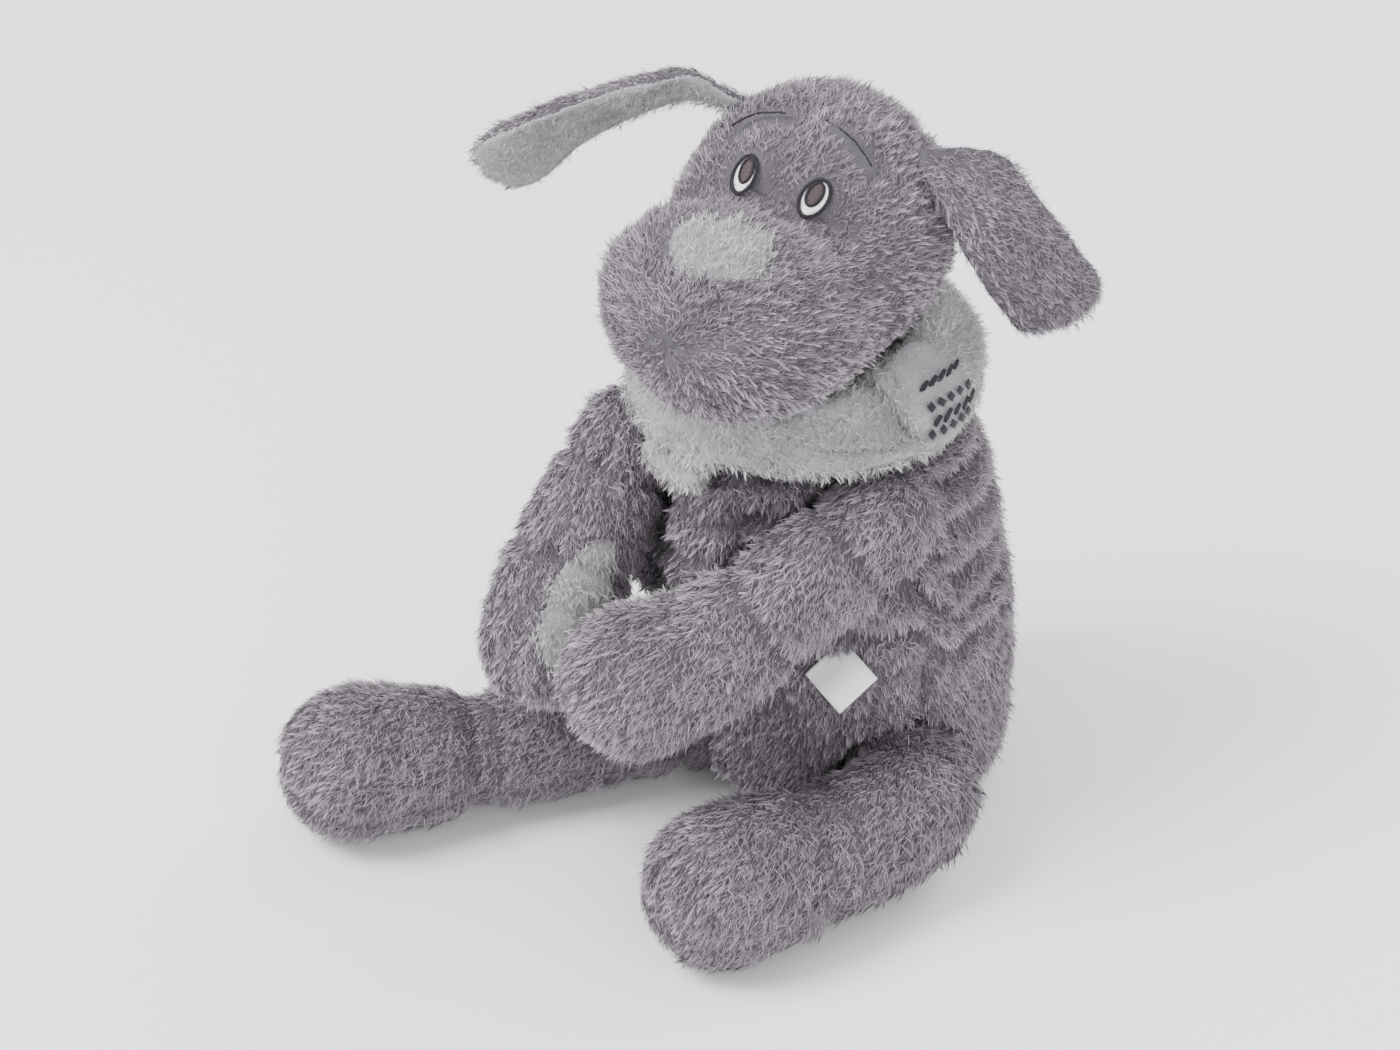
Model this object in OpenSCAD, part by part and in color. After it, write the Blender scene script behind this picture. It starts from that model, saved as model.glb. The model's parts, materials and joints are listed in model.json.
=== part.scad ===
// Seated plush dog: soft body, big muzzle, spread ears, scarf, crossed arms, stretched legs.
// Millimetres. +Z up, the dog faces -Y, its left side is +X, the seat lies on z = 0.

/* [Body] */
// Width of the body at the belly
body_w = 114; // [100:1:124]
// Depth of the body at the belly, front to back
body_d = 112; // [100:1:120]
// Height of the body from the seat to the neck
body_h = 177; // [170:1:180]
// How far the filling slumps to the right, mm
body_slump = 8; // [0:1:10]
// How far the shoulders lean forward
body_lean = 26; // [20:1:30]
// Thickness of the plush skin with half of its pile
skin_t = 2.4; // [1.8:0.1:3]

/* [Head] */
// Width of the head between the ears
head_w = 89; // [80:1:94]
// Width of the muzzle
muzzle_w = 82; // [70:1:88]
// Length of the head from the back to the muzzle tip
head_l = 136; // [124:1:140]
// Height of the middle of the head over the seat
head_z = 226; // [224:1:232]
// Turn of the resting head towards its left
head_yaw = 4; // [-10:1:10]
// Tilt of the resting head, its right ear up
head_roll = 4; // [-5:1:5]
// Half length of an embroidered eye
eye_h = 6.6; // [5:0.1:8]
// Half width of an embroidered eye
eye_w = 4.4; // [3:0.1:6]
// Eye distance from the middle of the face
eye_x = 12.2; // [10:0.1:14]

/* [Ears] */
// Length of an ear along its middle
ear_l = 66; // [50:1:72]
// Width of an ear
ear_w = 36; // [28:1:38]
// Thickness of the two layers of an ear
ear_t = 9.5; // [8:0.5:12]

/* [Arms] */
// Radius of an arm at the shoulder
arm_r0 = 18.5; // [16:0.5:19]
// Radius of the left hand
hand_l_r = 26.5; // [22:0.5:27]
// Radius of the right hand
hand_r_r = 22.5; // [18:0.5:23]
// Height of the shoulders
shoulder_z = 143; // [138:1:144]

/* [Legs] */
// Radius of a leg at the hip
leg_r0 = 23.5; // [20:0.5:24]
// Radius of a foot
foot_r = 27.5; // [24:0.5:28]
// Height of the hips
hip_z = 26; // [25:0.5:28]

/* [Tail] */
// Length of the tail
tail_l = 30; // [20:1:36]
// Radius of the tail at its root
tail_r = 10.5; // [8:0.5:11]

/* [Scarf] */
// Outer radius of the scarf
scarf_r = 58; // [55:0.5:59]
// Height of the middle of the scarf
scarf_z = 172; // [171:0.5:173]
// Slope of the scarf, higher at the back
scarf_tilt = 3; // [2:0.5:4]

/* [Label] */
// Width of the folded satin ribbon
label_w = 17; // [12:0.5:20]
// Length of the ribbon that shows
label_l = 16; // [12:0.5:20]

/* [Clearances] */
// Gap between a skin and what fills it
fill_gap = 0.3; // [0.25:0.05:0.5]
// Gap between two bodies that move
move_gap = 0.6; // [0.5:0.05:0.8]
// Gap between two skin panels at a seam, in degrees
seam_deg = 0.5; // [0.4:0.1:1]

/* [Hidden] */
$fn = 48;

plush = [0.55, 0.54, 0.58];
pale = [0.80, 0.80, 0.81];
fibre = [0.96, 0.96, 0.94];
bag = [0.86, 0.86, 0.82];
dark = [0.16, 0.14, 0.17];
satin = [0.97, 0.97, 0.97];

// ---- ring helpers: a ring is [centre, half axis u, half axis v], u x v points along the piece
function unit(v) = v / norm(v);
function rp(r, t) = r[0] + r[1] * cos(t) + r[2] * sin(t);
function step4(a, b, c, d, t) =
  0.5 * (2 * b + (c - a) * t + (2 * a - 5 * b + 4 * c - d) * t * t
         + (3 * b - a - 3 * c + d) * t * t * t);
function curve(P, k) = concat(
  [for (i = [0:len(P) - 2]) for (s = [0:k - 1])
    step4(P[max(i - 1, 0)], P[i], P[i + 1], P[min(i + 2, len(P) - 1)], s / k)],
  [P[len(P) - 1]]);

// Closed round piece through all rings
module round_loft(rings, n) {
  m = len(rings);
  pts = concat([for (r = rings) for (i = [0:n - 1]) rp(r, 360 * i / n)],
               [rings[0][0], rings[m - 1][0]]);
  side = [for (j = [0:m - 2]) for (i = [0:n - 1]) for (k = [0, 1])
    let (a = j * n + i, b = j * n + (i + 1) % n, c = b + n, d = a + n)
    k == 0 ? [a, d, c] : [a, c, b]];
  ends = [for (i = [0:n - 1]) for (k = [0, 1])
    k == 0 ? [i, (i + 1) % n, m * n]
           : [(m - 1) * n + (i + 1) % n, (m - 1) * n + i, m * n + 1]];
  polyhedron(points = pts, faces = concat(side, ends), convexity = 8);
}

// Sewn panel: the part of a skin between two angles, from the outer rings to the inner rings
module skin_panel(outer, inner, t0, t1, n) {
  m = len(outer);
  w = n + 1;
  q = m * w;
  pts = concat([for (r = outer) for (i = [0:n]) rp(r, t0 + (t1 - t0) * i / n)],
               [for (r = inner) for (i = [0:n]) rp(r, t0 + (t1 - t0) * i / n)]);
  skin = [for (j = [0:m - 2]) for (i = [0:n - 1]) for (k = [0:3])
    let (a = j * w + i, b = a + 1, c = b + w, d = a + w)
    k == 0 ? [a, d, c] : k == 1 ? [a, c, b] : k == 2 ? [q + a, q + c, q + d] : [q + a, q + b, q + c]];
  rims = [for (i = [0:n - 1]) for (k = [0:3])
    let (a = i, b = i + 1, d = (m - 1) * w + i, c = d + 1)
    k == 0 ? [a, b, q + b] : k == 1 ? [a, q + b, q + a] : k == 2 ? [c, d, q + d] : [c, q + d, q + c]];
  sides = [for (j = [0:m - 2]) for (k = [0:3])
    let (a = j * w, d = a + w, b = j * w + n, c = b + w)
    k == 0 ? [d, a, q + a] : k == 1 ? [d, q + a, q + d] : k == 2 ? [b, c, q + c] : [b, q + c, q + b]];
  polyhedron(points = pts, faces = concat(skin, rims, sides), convexity = 10);
}

// ---- body
rw = body_w / 2;
rd = body_d / 2;
// height share, width share, depth share, forward shift share
body_table = [
  [0, 0.67, 0.67, 0], [0.023, 0.81, 0.82, 0], [0.08, 0.95, 0.96, 0.04], [0.17, 1, 1.01, 0.08],
  [0.31, 1, 1, 0.11], [0.48, 0.98, 0.97, 0.2], [0.65, 0.95, 0.91, 0.38], [0.79, 0.91, 0.84, 0.54],
  [0.87, 0.84, 0.76, 0.7], [0.92, 0.72, 0.66, 0.8], [0.96, 0.59, 0.55, 0.88], [1, 0.47, 0.46, 1]];
// the loose filling slumps a little towards the right arm
function slump(t) = body_slump / 2 * max(0, 1 - pow((t - 0.55) / 0.33, 2));
function body_ring(b, g) = [
  [-slump(b[0]), -b[3] * body_lean, g + b[0] * (body_h - 2 * g)],
  [b[1] * rw + slump(b[0]) - g, 0, 0], [0, b[2] * rd - g, 0]];
function body_rings(g) = [for (b = body_table) body_ring(b, g)];

// ---- head, in its own frame: forward is -Y, the middle of the skull is the origin
hw = head_w / 2;
mw = muzzle_w / 2;
hl = head_l / 136;
// forward distance, half width, underside, top
skull_table = [
  [-44, 0.12 * hw, -5, 5], [-42, 0.32 * hw, -14, 14], [-37, 0.55 * hw, -24, 24],
  [-28, 0.77 * hw, -34, 34], [-14, 0.94 * hw, -41, 41], [0, hw, -44, 44],
  [11, hw, -43.5, 41], [21, 0.98 * hw, -42.5, 32], [30, 0.97 * hw, -42, 20]];
muzzle_table = [
  [30, 0.97 * hw, -42, 20], [37, 1.02 * mw, -42, 18.5], [46, 1.02 * mw, -42.5, 23.5],
  [58, 1.01 * mw, -42.5, 28.5], [70, 0.92 * mw, -39, 27], [80, 0.74 * mw, -31, 19.5],
  [87, 0.49 * mw, -21, 10.5], [91, 0.22 * mw, -12, 2], [92, 0.06 * mw, -7, -3]];
head_back = -44;
head_tip = 92;
function head_ring(k, g) =
  let (f = head_back + g + (k[0] - head_back) * (head_tip - head_back - 2 * g)
           / (head_tip - head_back),
       shrink = min(g, k[1] * 0.8), rz = (k[3] - k[2]) / 2)
  [[0, -f * hl, (k[3] + k[2]) / 2], [k[1] - shrink, 0, 0], [0, 0, rz - min(g, rz * 0.8)]];
function rings_of(table, g) = [for (k = table) head_ring(k, g)];

neck_y = -body_lean;
neck_pivot = [-3.5, neck_y, 190];
neck_ball = 16;
module at_head() {
  translate(neck_pivot) rotate([0, head_roll, head_yaw])
    translate([0, 0, head_z - neck_pivot[2]]) children();
}
module neck_socket() {
  translate([0, 0, neck_pivot[2] - head_z]) sphere(r = neck_ball + move_gap);
}

// ---- limbs: each point is [x, y, z, half width, half thickness]
function pos(p) = [p[0], p[1], p[2]];
function way(S, i) = unit(pos(S[min(i + 1, len(S) - 1)]) - pos(S[max(i - 1, 0)]));
function limb_ring(c, d, a, b, twist) =
  let (u = unit(cross([0, 0, 1], d)), v = cross(d, u))
  [c, a * (u * cos(twist) + v * sin(twist)), b * (v * cos(twist) - u * sin(twist))];
function cap_ring(p, d, s, phi, g, twist, flat) =
  limb_ring(pos(p) + s * d * (p[3] * flat - g) * sin(phi), d,
            (p[3] - g) * cos(phi), (p[4] - g) * cos(phi), twist);
// all rings of a limb, rounded at both ends
function limb_rings(S, g, twist, f0, f1) =
  let (m = len(S) - 1)
  concat(
    [for (phi = [86, 62, 40, 20]) cap_ring(S[0], way(S, 0), -1, phi, g, twist, f0)],
    [for (i = [0:m]) limb_ring(pos(S[i]), way(S, i), S[i][3] - g, S[i][4] - g, twist)],
    [for (phi = [20, 40, 62, 86]) cap_ring(S[m], way(S, m), 1, phi, g, twist, f1)]);
function part_of(L, a, b) = [for (i = [a:b]) L[i]];

shoulder_l = [43, -53, shoulder_z];
shoulder_r = [-52, -60, shoulder_z];
arm_l = curve([
  [shoulder_l[0], shoulder_l[1], shoulder_l[2], arm_r0, arm_r0],
  [25, -80, 120, 20, 20], [8, -98, 103, 22.8, 22.8], [-8, -113, 95, hand_l_r, hand_l_r]], 2);
arm_r = curve([
  [shoulder_r[0], shoulder_r[1], shoulder_r[2], arm_r0, arm_r0],
  [-55, -80, 118, 21, 21], [-57.5, -91, 98, 22.5, 22.5], [-59, -98, 80, hand_r_r, hand_r_r]], 2);
hip_l = [42, -30, hip_z];
hip_r = [-42, -30, hip_z];
leg_l = curve([
  [hip_l[0], hip_l[1], hip_l[2], leg_r0, leg_r0], [52, -45, 28, 23.5, 23.5],
  [44, -77, 27.5, 23, 23], [26, -115, foot_r + 0.8, foot_r, foot_r]], 3);
leg_r = curve([
  [hip_r[0], hip_r[1], hip_r[2], leg_r0, leg_r0], [-60, -58, 26, 22.5, 22.5],
  [-86, -95, 24.5, 21.5, 21.5], [-115, -133, foot_r + 0.8, foot_r, foot_r]], 3);

// room that a limb sweeps through, taken out of the body
module sweep_room(p0, p1, lo, hi, axis) {
  hull() {
    translate(pos(p0)) sphere(r = p0[3] + move_gap + 0.8, $fn = 20);
    for (a = [lo, (lo + hi) / 2, hi])
      translate(pos(p0)) rotate(a * axis) translate(pos(p1) - pos(p0))
        sphere(r = p1[3] + move_gap + 0.8, $fn = 20);
  }
}
module arm_room_l() { sweep_room(arm_l[0], arm_l[2], -4, 20, [-1, 0, 0]); }
module arm_room_r() { sweep_room(arm_r[0], arm_r[2], -4, 20, [-1, 0, 0]); }
module leg_room_l() { sweep_room(leg_l[0], leg_l[3], -8, 22, [0, 0, 1]); }
module leg_room_r() { sweep_room(leg_r[0], leg_r[3], -22, 4, [0, 0, 1]); }
module tail_room() {
  hull() {
    translate(tail_root) sphere(r = tail_r + move_gap + 0.8);
    translate(tail_root + [0, 7, 4]) sphere(r = tail_r + move_gap + 1);
  }
}

// ---- torso pieces
module body_panel(t0, t1, n) {
  skin_panel(body_rings(0), body_rings(skin_t), t0 + seam_deg, t1 - seam_deg, n);
}
module belly_panel() {
  color(plush) difference() {
    body_panel(-150, -30, 10);
    arm_room_l();
    arm_room_r();
    leg_room_l();
    leg_room_r();
    at_label() cube([label_l + 0.8, label_w + 0.8, 3 * label_t + 0.8], center = true);
  }
}
module back_panel_left() {
  color(plush) difference() {
    body_panel(-30, 90, 10);
    arm_room_l();
    leg_room_l();
    tail_room();
  }
}
module back_panel_right() {
  color(plush) difference() {
    body_panel(90, 210, 10);
    arm_room_r();
    leg_room_r();
    tail_room();
  }
}
seat_r = 0.67 * min(rw, rd);
module seat_panel() {
  color(plush) cylinder(h = skin_t, r1 = seat_r - 0.8, r2 = seat_r - skin_t - 0.8);
}
top_r = 0.46 * min(rw, rd);
module neck_room() { translate(neck_pivot) sphere(r = neck_ball + move_gap, $fn = 40); }
module neck_closing_disc() {
  color(plush) difference() {
    translate([0, neck_y, body_h - skin_t])
      cylinder(h = skin_t, r1 = top_r - skin_t - 0.8, r2 = top_r - 0.8);
    neck_room();
  }
}
inner_g = skin_t + fill_gap;
bag_r = 30;
bag_h = 22;
module pellet_bag(g) {
  rotate_extrude() polygon([[0, -g], [bag_r * 0.7 + g, -g], [bag_r + g, bag_h * 0.3],
    [bag_r + g, bag_h * 0.6], [bag_r * 0.6 + g, bag_h + g], [0, bag_h + g]]);
}
module torso_filling() {
  color(fibre) difference() {
    round_loft(body_rings(inner_g), 24);
    arm_room_l();
    arm_room_r();
    leg_room_l();
    leg_room_r();
    tail_room();
    neck_room();
    at_label() cube([label_l + 0.8, label_w + 0.8, 3 * label_t + 0.8], center = true);
    translate([0, 6, 8]) pellet_bag(fill_gap);
  }
}
module seat_pellet_bag() { color(bag) translate([0, 6, 8]) pellet_bag(0); }

// ladder stitches that close the back seam
module back_closing_stitches() {
  color(dark) for (i = [0:7])
    let (z = 62 + i * 7, b = -0.2 * body_lean - (i * 7 / body_h) * body_lean * 0.95)
    translate([0, body_back(z) + 0.7, z]) cube([4.4, 0.7, 0.7], center = true);
}
function look(z, k, i) =
  let (a = body_table[i], b = body_table[i + 1], t = (z / body_h - a[0]) / (b[0] - a[0]))
  a[k] + (b[k] - a[k]) * t;
function row(z, i = 0) = (i >= len(body_table) - 2 || z / body_h <= body_table[i + 1][0]) ? i : row(z, i + 1);
function body_back(z) = look(z, 2, row(z)) * rd - look(z, 3, row(z)) * body_lean;
function body_front(z) = -look(z, 2, row(z)) * rd - look(z, 3, row(z)) * body_lean;

// folded ribbon, sewn in by one edge, with its fold at the free end
label_t = 0.45;
label_way = unit([0.782, 0.046, -0.619]);
label_side = unit([-0.398, -0.702, -0.594]);
label_out = cross(label_way, label_side);
module at_label() {
  multmatrix([for (k = [0:2]) [label_way[k], label_side[k], label_out[k], [29.6, -53.1, 76.7][k]]])
    children();
}
module side_label() {
  color(satin) at_label() linear_extrude(height = 3 * label_t, center = true)
    square([label_l, label_w], center = true);
}

// ---- scarf
module at_scarf() {
  translate([-3, -29, scarf_z]) rotate([scarf_tilt, 0, 0]) children();
}
module scarf_band() {
  color(pale) at_scarf() rotate_extrude() polygon([
    [scarf_r - 20, -2], [scarf_r - 14.5, -6.8], [scarf_r - 6, -7.6], [scarf_r - 1.5, -6],
    [scarf_r, -2.5], [scarf_r - 1, 0.6], [scarf_r - 6, 1.6], [scarf_r - 20, 2]]);
}
module scarf_front_fold() {
  color(pale) at_scarf() rotate([0, 0, -159.5]) rotate_extrude(angle = 139) polygon([
    [scarf_r - 20, 2.4], [scarf_r - 6, 2], [scarf_r - 2.2, 1.4], [scarf_r - 1.6, 3.4],
    [scarf_r - 4, 6], [scarf_r - 10, 6.8], [scarf_r - 19, 5.6]]);
}
module scarf_back_roll() {
  color(pale) at_scarf() rotate([0, 0, -20]) rotate_extrude(angle = 220) polygon([
    [scarf_r - 20, 2.4], [scarf_r - 6, 2], [scarf_r - 2.2, 1.4], [scarf_r - 0.8, 6],
    [scarf_r - 2, 12], [scarf_r - 6, 16], [scarf_r - 11.5, 16], [scarf_r - 18, 8]]);
}
module scarf_front_point() {
  color(pale) translate([-17, -82.5, scarf_z - 9]) rotate([8, 0, -8]) rotate([90, 0, 0])
    linear_extrude(height = 5, center = true)
    polygon([[-16, -1.6], [16, -1.6], [12, -7], [3, -15], [-1, -16.5], [-6, -14], [-13, -7]]);
}
// woven pattern of short satin stitches, nine blocks turned in turn
module scarf_patch_stitches() {
  color(dark) for (i = [0:2]) for (j = [0:3])
    at_scarf() rotate([0, 0, -14 + j * 6.5]) translate([scarf_r + 1.0, 0, -4.1 + i * 2.6])
      rotate([(i + j) % 2 == 0 ? 0 : 90, 0, 0]) cube([0.8, 3.4, 0.8], center = true);
}

// ---- tail
tail_root = [0, body_back(34) - 1, 34];
tail_path = curve([
  [0, tail_root[1], 34, tail_r, tail_r], [0, tail_root[1] + 0.55 * tail_l, 42, tail_r - 1, tail_r - 1],
  [0, tail_root[1] + 0.9 * tail_l, 54, tail_r - 2, tail_r - 2]], 3);
function tail_rings(g) = limb_rings(tail_path, g, 0, 1, 1);
module tail_skin_upper() {
  color(plush) skin_panel(tail_rings(0), tail_rings(1.8), 1, 179, 6);
}
module tail_skin_lower() {
  color(plush) skin_panel(tail_rings(0), tail_rings(1.8), 181, 359, 6);
}
module tail_filling() { color(fibre) round_loft(tail_rings(1.8 + fill_gap), 12); }

// ---- neck: a soft ball between the body and the head
module neck_shape(g) { translate(neck_pivot) sphere(r = neck_ball - g, $fn = 40); }
module neck_skin() {
  color(plush) difference() { neck_shape(0); neck_shape(1.6); }
}
module neck_filling() { color(fibre) neck_shape(1.6 + fill_gap); }

// ---- head pieces
sd = seam_deg;
module head_panel(table, t0, t1, n) {
  at_head() difference() {
    skin_panel(rings_of(table, 0), rings_of(table, skin_t), t0 + sd, t1 - sd, n);
    neck_socket();
  }
}
module face_panel(table, t0, t1, n) {
  at_head() skin_panel(rings_of(table, 0), rings_of(table, skin_t), t0 + sd, t1 - sd, n);
}
function cut_back(table) = [for (i = [0:len(table) - 1])
  i == len(table) - 1 ? table[i] - [0.4, 0, 0, 0] : table[i]];
module head_gusset() { color(plush) face_panel(cut_back(skull_table), 55, 125, 6); }
module head_side_left() { color(plush) head_panel(cut_back(skull_table), -90, 55, 10); }
module head_side_right() { color(plush) head_panel(cut_back(skull_table), 125, 270, 10); }
module muzzle_top() { color(plush) face_panel(muzzle_table, 35, 145, 8); }
module muzzle_cheek_left() { color(plush) face_panel(muzzle_table, -55, 35, 7); }
module muzzle_cheek_right() { color(plush) face_panel(muzzle_table, 145, 235, 7); }
module chin_panel() { color(plush) head_panel(muzzle_table, 235, 305, 6); }
module head_filling() {
  color(fibre) at_head() difference() {
    round_loft(concat(rings_of(skull_table, inner_g),
                      rings_of(part_of(muzzle_table, 1, len(muzzle_table) - 1), inner_g)), 24);
    neck_socket();
  }
}
module nose_pad() {
  color(pale) at_head()
    skin_panel(rings_of(part_of(muzzle_table, 3, 5), -1.7), rings_of(part_of(muzzle_table, 3, 5), -0.4),
               62, 118, 6);
}

// embroidery lies on the slope between forehead and muzzle
module at_eye(side) {
  at_head() translate([side * eye_x, -28 * hl, 22.9]) rotate([44, 0, 0]) rotate([0, side * 14, 0])
    rotate([0, 0, side * -8]) children();
}
module oval(a, b, h) { scale([1, b / a, 1]) cylinder(h = h, r = a, $fn = 24); }
module eye_white(side) {
  color(satin) at_eye(side) difference() {
    oval(eye_w - 0.9, eye_h - 0.9, 0.8);
    translate([side * -0.5, 1.1, -1]) oval(eye_w - 1.7, eye_h - 2.3, 3);
  }
}
module pupil(side) {
  color([0.42, 0.37, 0.34]) at_eye(side)
    translate([side * -0.5, 1.1, 0]) oval(eye_w - 1.9, eye_h - 2.5, 1);
}
module eye_outline(side) {
  color(dark) at_eye(side) difference() {
    oval(eye_w, eye_h, 0.9);
    translate([0, 0, -1]) oval(eye_w - 0.7, eye_h - 0.7, 3);
  }
}
module eye_white_left() { eye_white(1); }
module eye_white_right() { eye_white(-1); }
module pupil_left() { pupil(1); }
module pupil_right() { pupil(-1); }
module eye_outline_left() { eye_outline(1); }
module eye_outline_right() { eye_outline(-1); }
module brow_shell(g) { round_loft(rings_of(skull_table, g), 48); }
brow_line = [
  [[-24.1, -18.1], [-20.7, -16.2], [-16.6, -15.0], [-11.5, -14.7], [-6.7, -14.5]],
  [[9.3, -13.4], [13.3, -13.7], [17.0, -14.5], [20.4, -15.2], [23.3, -16.4]]];
module brow(k) {
  line = brow_line[k];
  at_head() intersection() {
    difference() {
      brow_shell(-1.3);
      brow_shell(-0.35);
    }
    translate([0, 0, 12]) linear_extrude(height = 40)
      polygon(concat([for (p = line) [p[0], p[1] * hl - 0.5]],
        [for (n = [0:len(line) - 1]) [line[len(line) - 1 - n][0], line[len(line) - 1 - n][1] * hl + 0.5]]));
  }
}
module brow_stitches() {
  color(dark) {
    brow(0);
    brow(1);
  }
}

// ---- ears, in the head frame
ear_k = ear_l / 66;
ear_root = [39.6, 4, 31.4];
function ear_at(s, d, w) = [s * (ear_root[0] + d[0] * ear_k), ear_root[1] + d[1] * ear_k,
  ear_root[2] + d[2] * ear_k, w, ear_t / 2];
function ear_path(s) = curve(concat(
  [[s * ear_root[0], ear_root[1], ear_root[2], 6, ear_t / 2 - 0.6]],
  s > 0 ? [ear_at(s, [10, 7, -5], ear_w * 0.42), ear_at(s, [24, 18, -22], ear_w * 0.5),
           ear_at(s, [34, 28, -48], ear_w * 0.46)]
        : [ear_at(s, [15, -11, 1], ear_w * 0.38), ear_at(s, [36, -25, -9], ear_w * 0.46),
           ear_at(s, [56, -37, -27], ear_w * 0.42)]), 3);
function ear_rings(s, g) = limb_rings(ear_path(s), g, 60, 0.9, 0.8);
module ear(s, t0, t1) {
  color(t0 < 90 ? plush : pale) at_head()
    skin_panel(ear_rings(s, 0), ear_rings(s, 2.2), t0, t1, 8);
}
module ear_outer_left() { ear(1, 2, 178); }
module ear_lining_left() { ear(1, 182, 358); }
module ear_outer_right() { ear(-1, 2, 178); }
module ear_lining_right() { ear(-1, 182, 358); }

// ---- arms: outer panel, inner panel, pad in the palm
palm_from = 8;
function arm_rings(S, g) = limb_rings(S, g, 0, 1, 1);
module arm_panel(S, a, b, t0, t1, n) {
  skin_panel(part_of(arm_rings(S, 0), a, b), part_of(arm_rings(S, skin_t), a, b), t0 + 1, t1 - 1, n);
}
arm_end = len(arm_l) + 7;
module arm_fill(S, bag_r, c) {
  difference() {
    round_loft(arm_rings(S, inner_g), 16);
    translate(c) sphere(r = bag_r + fill_gap);
  }
}
hand_l_c = pos(arm_l[len(arm_l) - 1]);
hand_r_c = pos(arm_r[len(arm_r) - 1]);
hand_bag_r = 13;
module arm_outer_left() { color(plush) arm_panel(arm_l, 0, arm_end, -60, 160, 12); }
module arm_inner_left() { color(plush) arm_panel(arm_l, 0, palm_from, 160, 300, 8); }
module palm_pad_left() { color(pale) arm_panel(arm_l, palm_from, arm_end, 160, 300, 8); }
module arm_filling_left() { color(fibre) arm_fill(arm_l, hand_bag_r, hand_l_c); }
module hand_pellet_bag_left() { color(bag) translate(hand_l_c) sphere(r = hand_bag_r); }
module arm_outer_right() { color(plush) arm_panel(arm_r, 0, arm_end, 70, 290, 12); }
module arm_inner_right() { color(plush) arm_panel(arm_r, 0, palm_from, -70, 70, 8); }
module palm_pad_right() { color(pale) arm_panel(arm_r, palm_from, arm_end, -70, 70, 8); }
module arm_filling_right() { color(fibre) arm_fill(arm_r, hand_bag_r - 1, hand_r_c); }
module hand_pellet_bag_right() { color(bag) translate(hand_r_c) sphere(r = hand_bag_r - 1); }

// ---- legs: upper and under panel, foot top, sole
ankle_from = 10;
leg_end = len(leg_l) + 7;
function leg_rings(S, g) = limb_rings(S, g, 0, 1, 1);
module leg_panel(S, a, b, t0, t1, n) {
  skin_panel(part_of(leg_rings(S, 0), a, b), part_of(leg_rings(S, skin_t), a, b), t0 + 1, t1 - 1, n);
}
foot_l_c = pos(leg_l[len(leg_l) - 1]);
foot_r_c = pos(leg_r[len(leg_r) - 1]);
foot_bag_r = 15;
module leg_upper_left() { color(plush) leg_panel(leg_l, 0, ankle_from, -15, 165, 9); }
module leg_under_left() { color(plush) leg_panel(leg_l, 0, ankle_from, 165, 345, 9); }
module foot_top_left() { color(plush) leg_panel(leg_l, ankle_from, leg_end, -15, 165, 9); }
module foot_sole_left() { color(plush) leg_panel(leg_l, ankle_from, leg_end, 165, 345, 9); }
module leg_filling_left() {
  color(fibre) difference() {
    round_loft(leg_rings(leg_l, inner_g), 16);
    translate(foot_l_c) sphere(r = foot_bag_r + fill_gap);
  }
}
module foot_pellet_bag_left() {
  color(bag) {
    translate(foot_l_c) sphere(r = foot_bag_r);
  }
}
module leg_upper_right() { color(plush) leg_panel(leg_r, 0, ankle_from, -15, 165, 9); }
module leg_under_right() { color(plush) leg_panel(leg_r, 0, ankle_from, 165, 345, 9); }
module foot_top_right() { color(plush) leg_panel(leg_r, ankle_from, leg_end, -15, 165, 9); }
module foot_sole_right() { color(plush) leg_panel(leg_r, ankle_from, leg_end, 165, 345, 9); }
module leg_filling_right() { color(fibre) round_loft(leg_rings(leg_r, inner_g), 16); }

belly_panel();
back_panel_left();
back_panel_right();
seat_panel();
neck_closing_disc();
torso_filling();
seat_pellet_bag();
back_closing_stitches();
side_label();
scarf_band();
scarf_front_fold();
scarf_back_roll();
scarf_front_point();
scarf_patch_stitches();
tail_skin_upper();
tail_skin_lower();
tail_filling();
neck_skin();
neck_filling();
head_gusset();
head_side_left();
head_side_right();
muzzle_top();
muzzle_cheek_left();
muzzle_cheek_right();
chin_panel();
head_filling();
nose_pad();
eye_white_left();
eye_white_right();
pupil_left();
pupil_right();
eye_outline_left();
eye_outline_right();
brow_stitches();
ear_outer_left();
ear_lining_left();
ear_outer_right();
ear_lining_right();
arm_outer_left();
arm_inner_left();
palm_pad_left();
arm_filling_left();
hand_pellet_bag_left();
arm_outer_right();
arm_inner_right();
palm_pad_right();
arm_filling_right();
hand_pellet_bag_right();
leg_upper_left();
leg_under_left();
foot_top_left();
foot_sole_left();
leg_filling_left();
foot_pellet_bag_left();
leg_upper_right();
leg_under_right();
foot_top_right();
foot_sole_right();
leg_filling_right();
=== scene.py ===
"""A seated plush dog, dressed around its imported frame: sewn skins, pile, scarf, ribbon and embroidery."""
import json
import logging
import math
from dataclasses import dataclass, field
from enum import Enum
from typing import Callable, Iterable, Sequence

import bmesh
import bpy
import numpy as np
from mathutils import Matrix, Vector, noise
from mathutils.bvhtree import BVHTree

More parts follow.
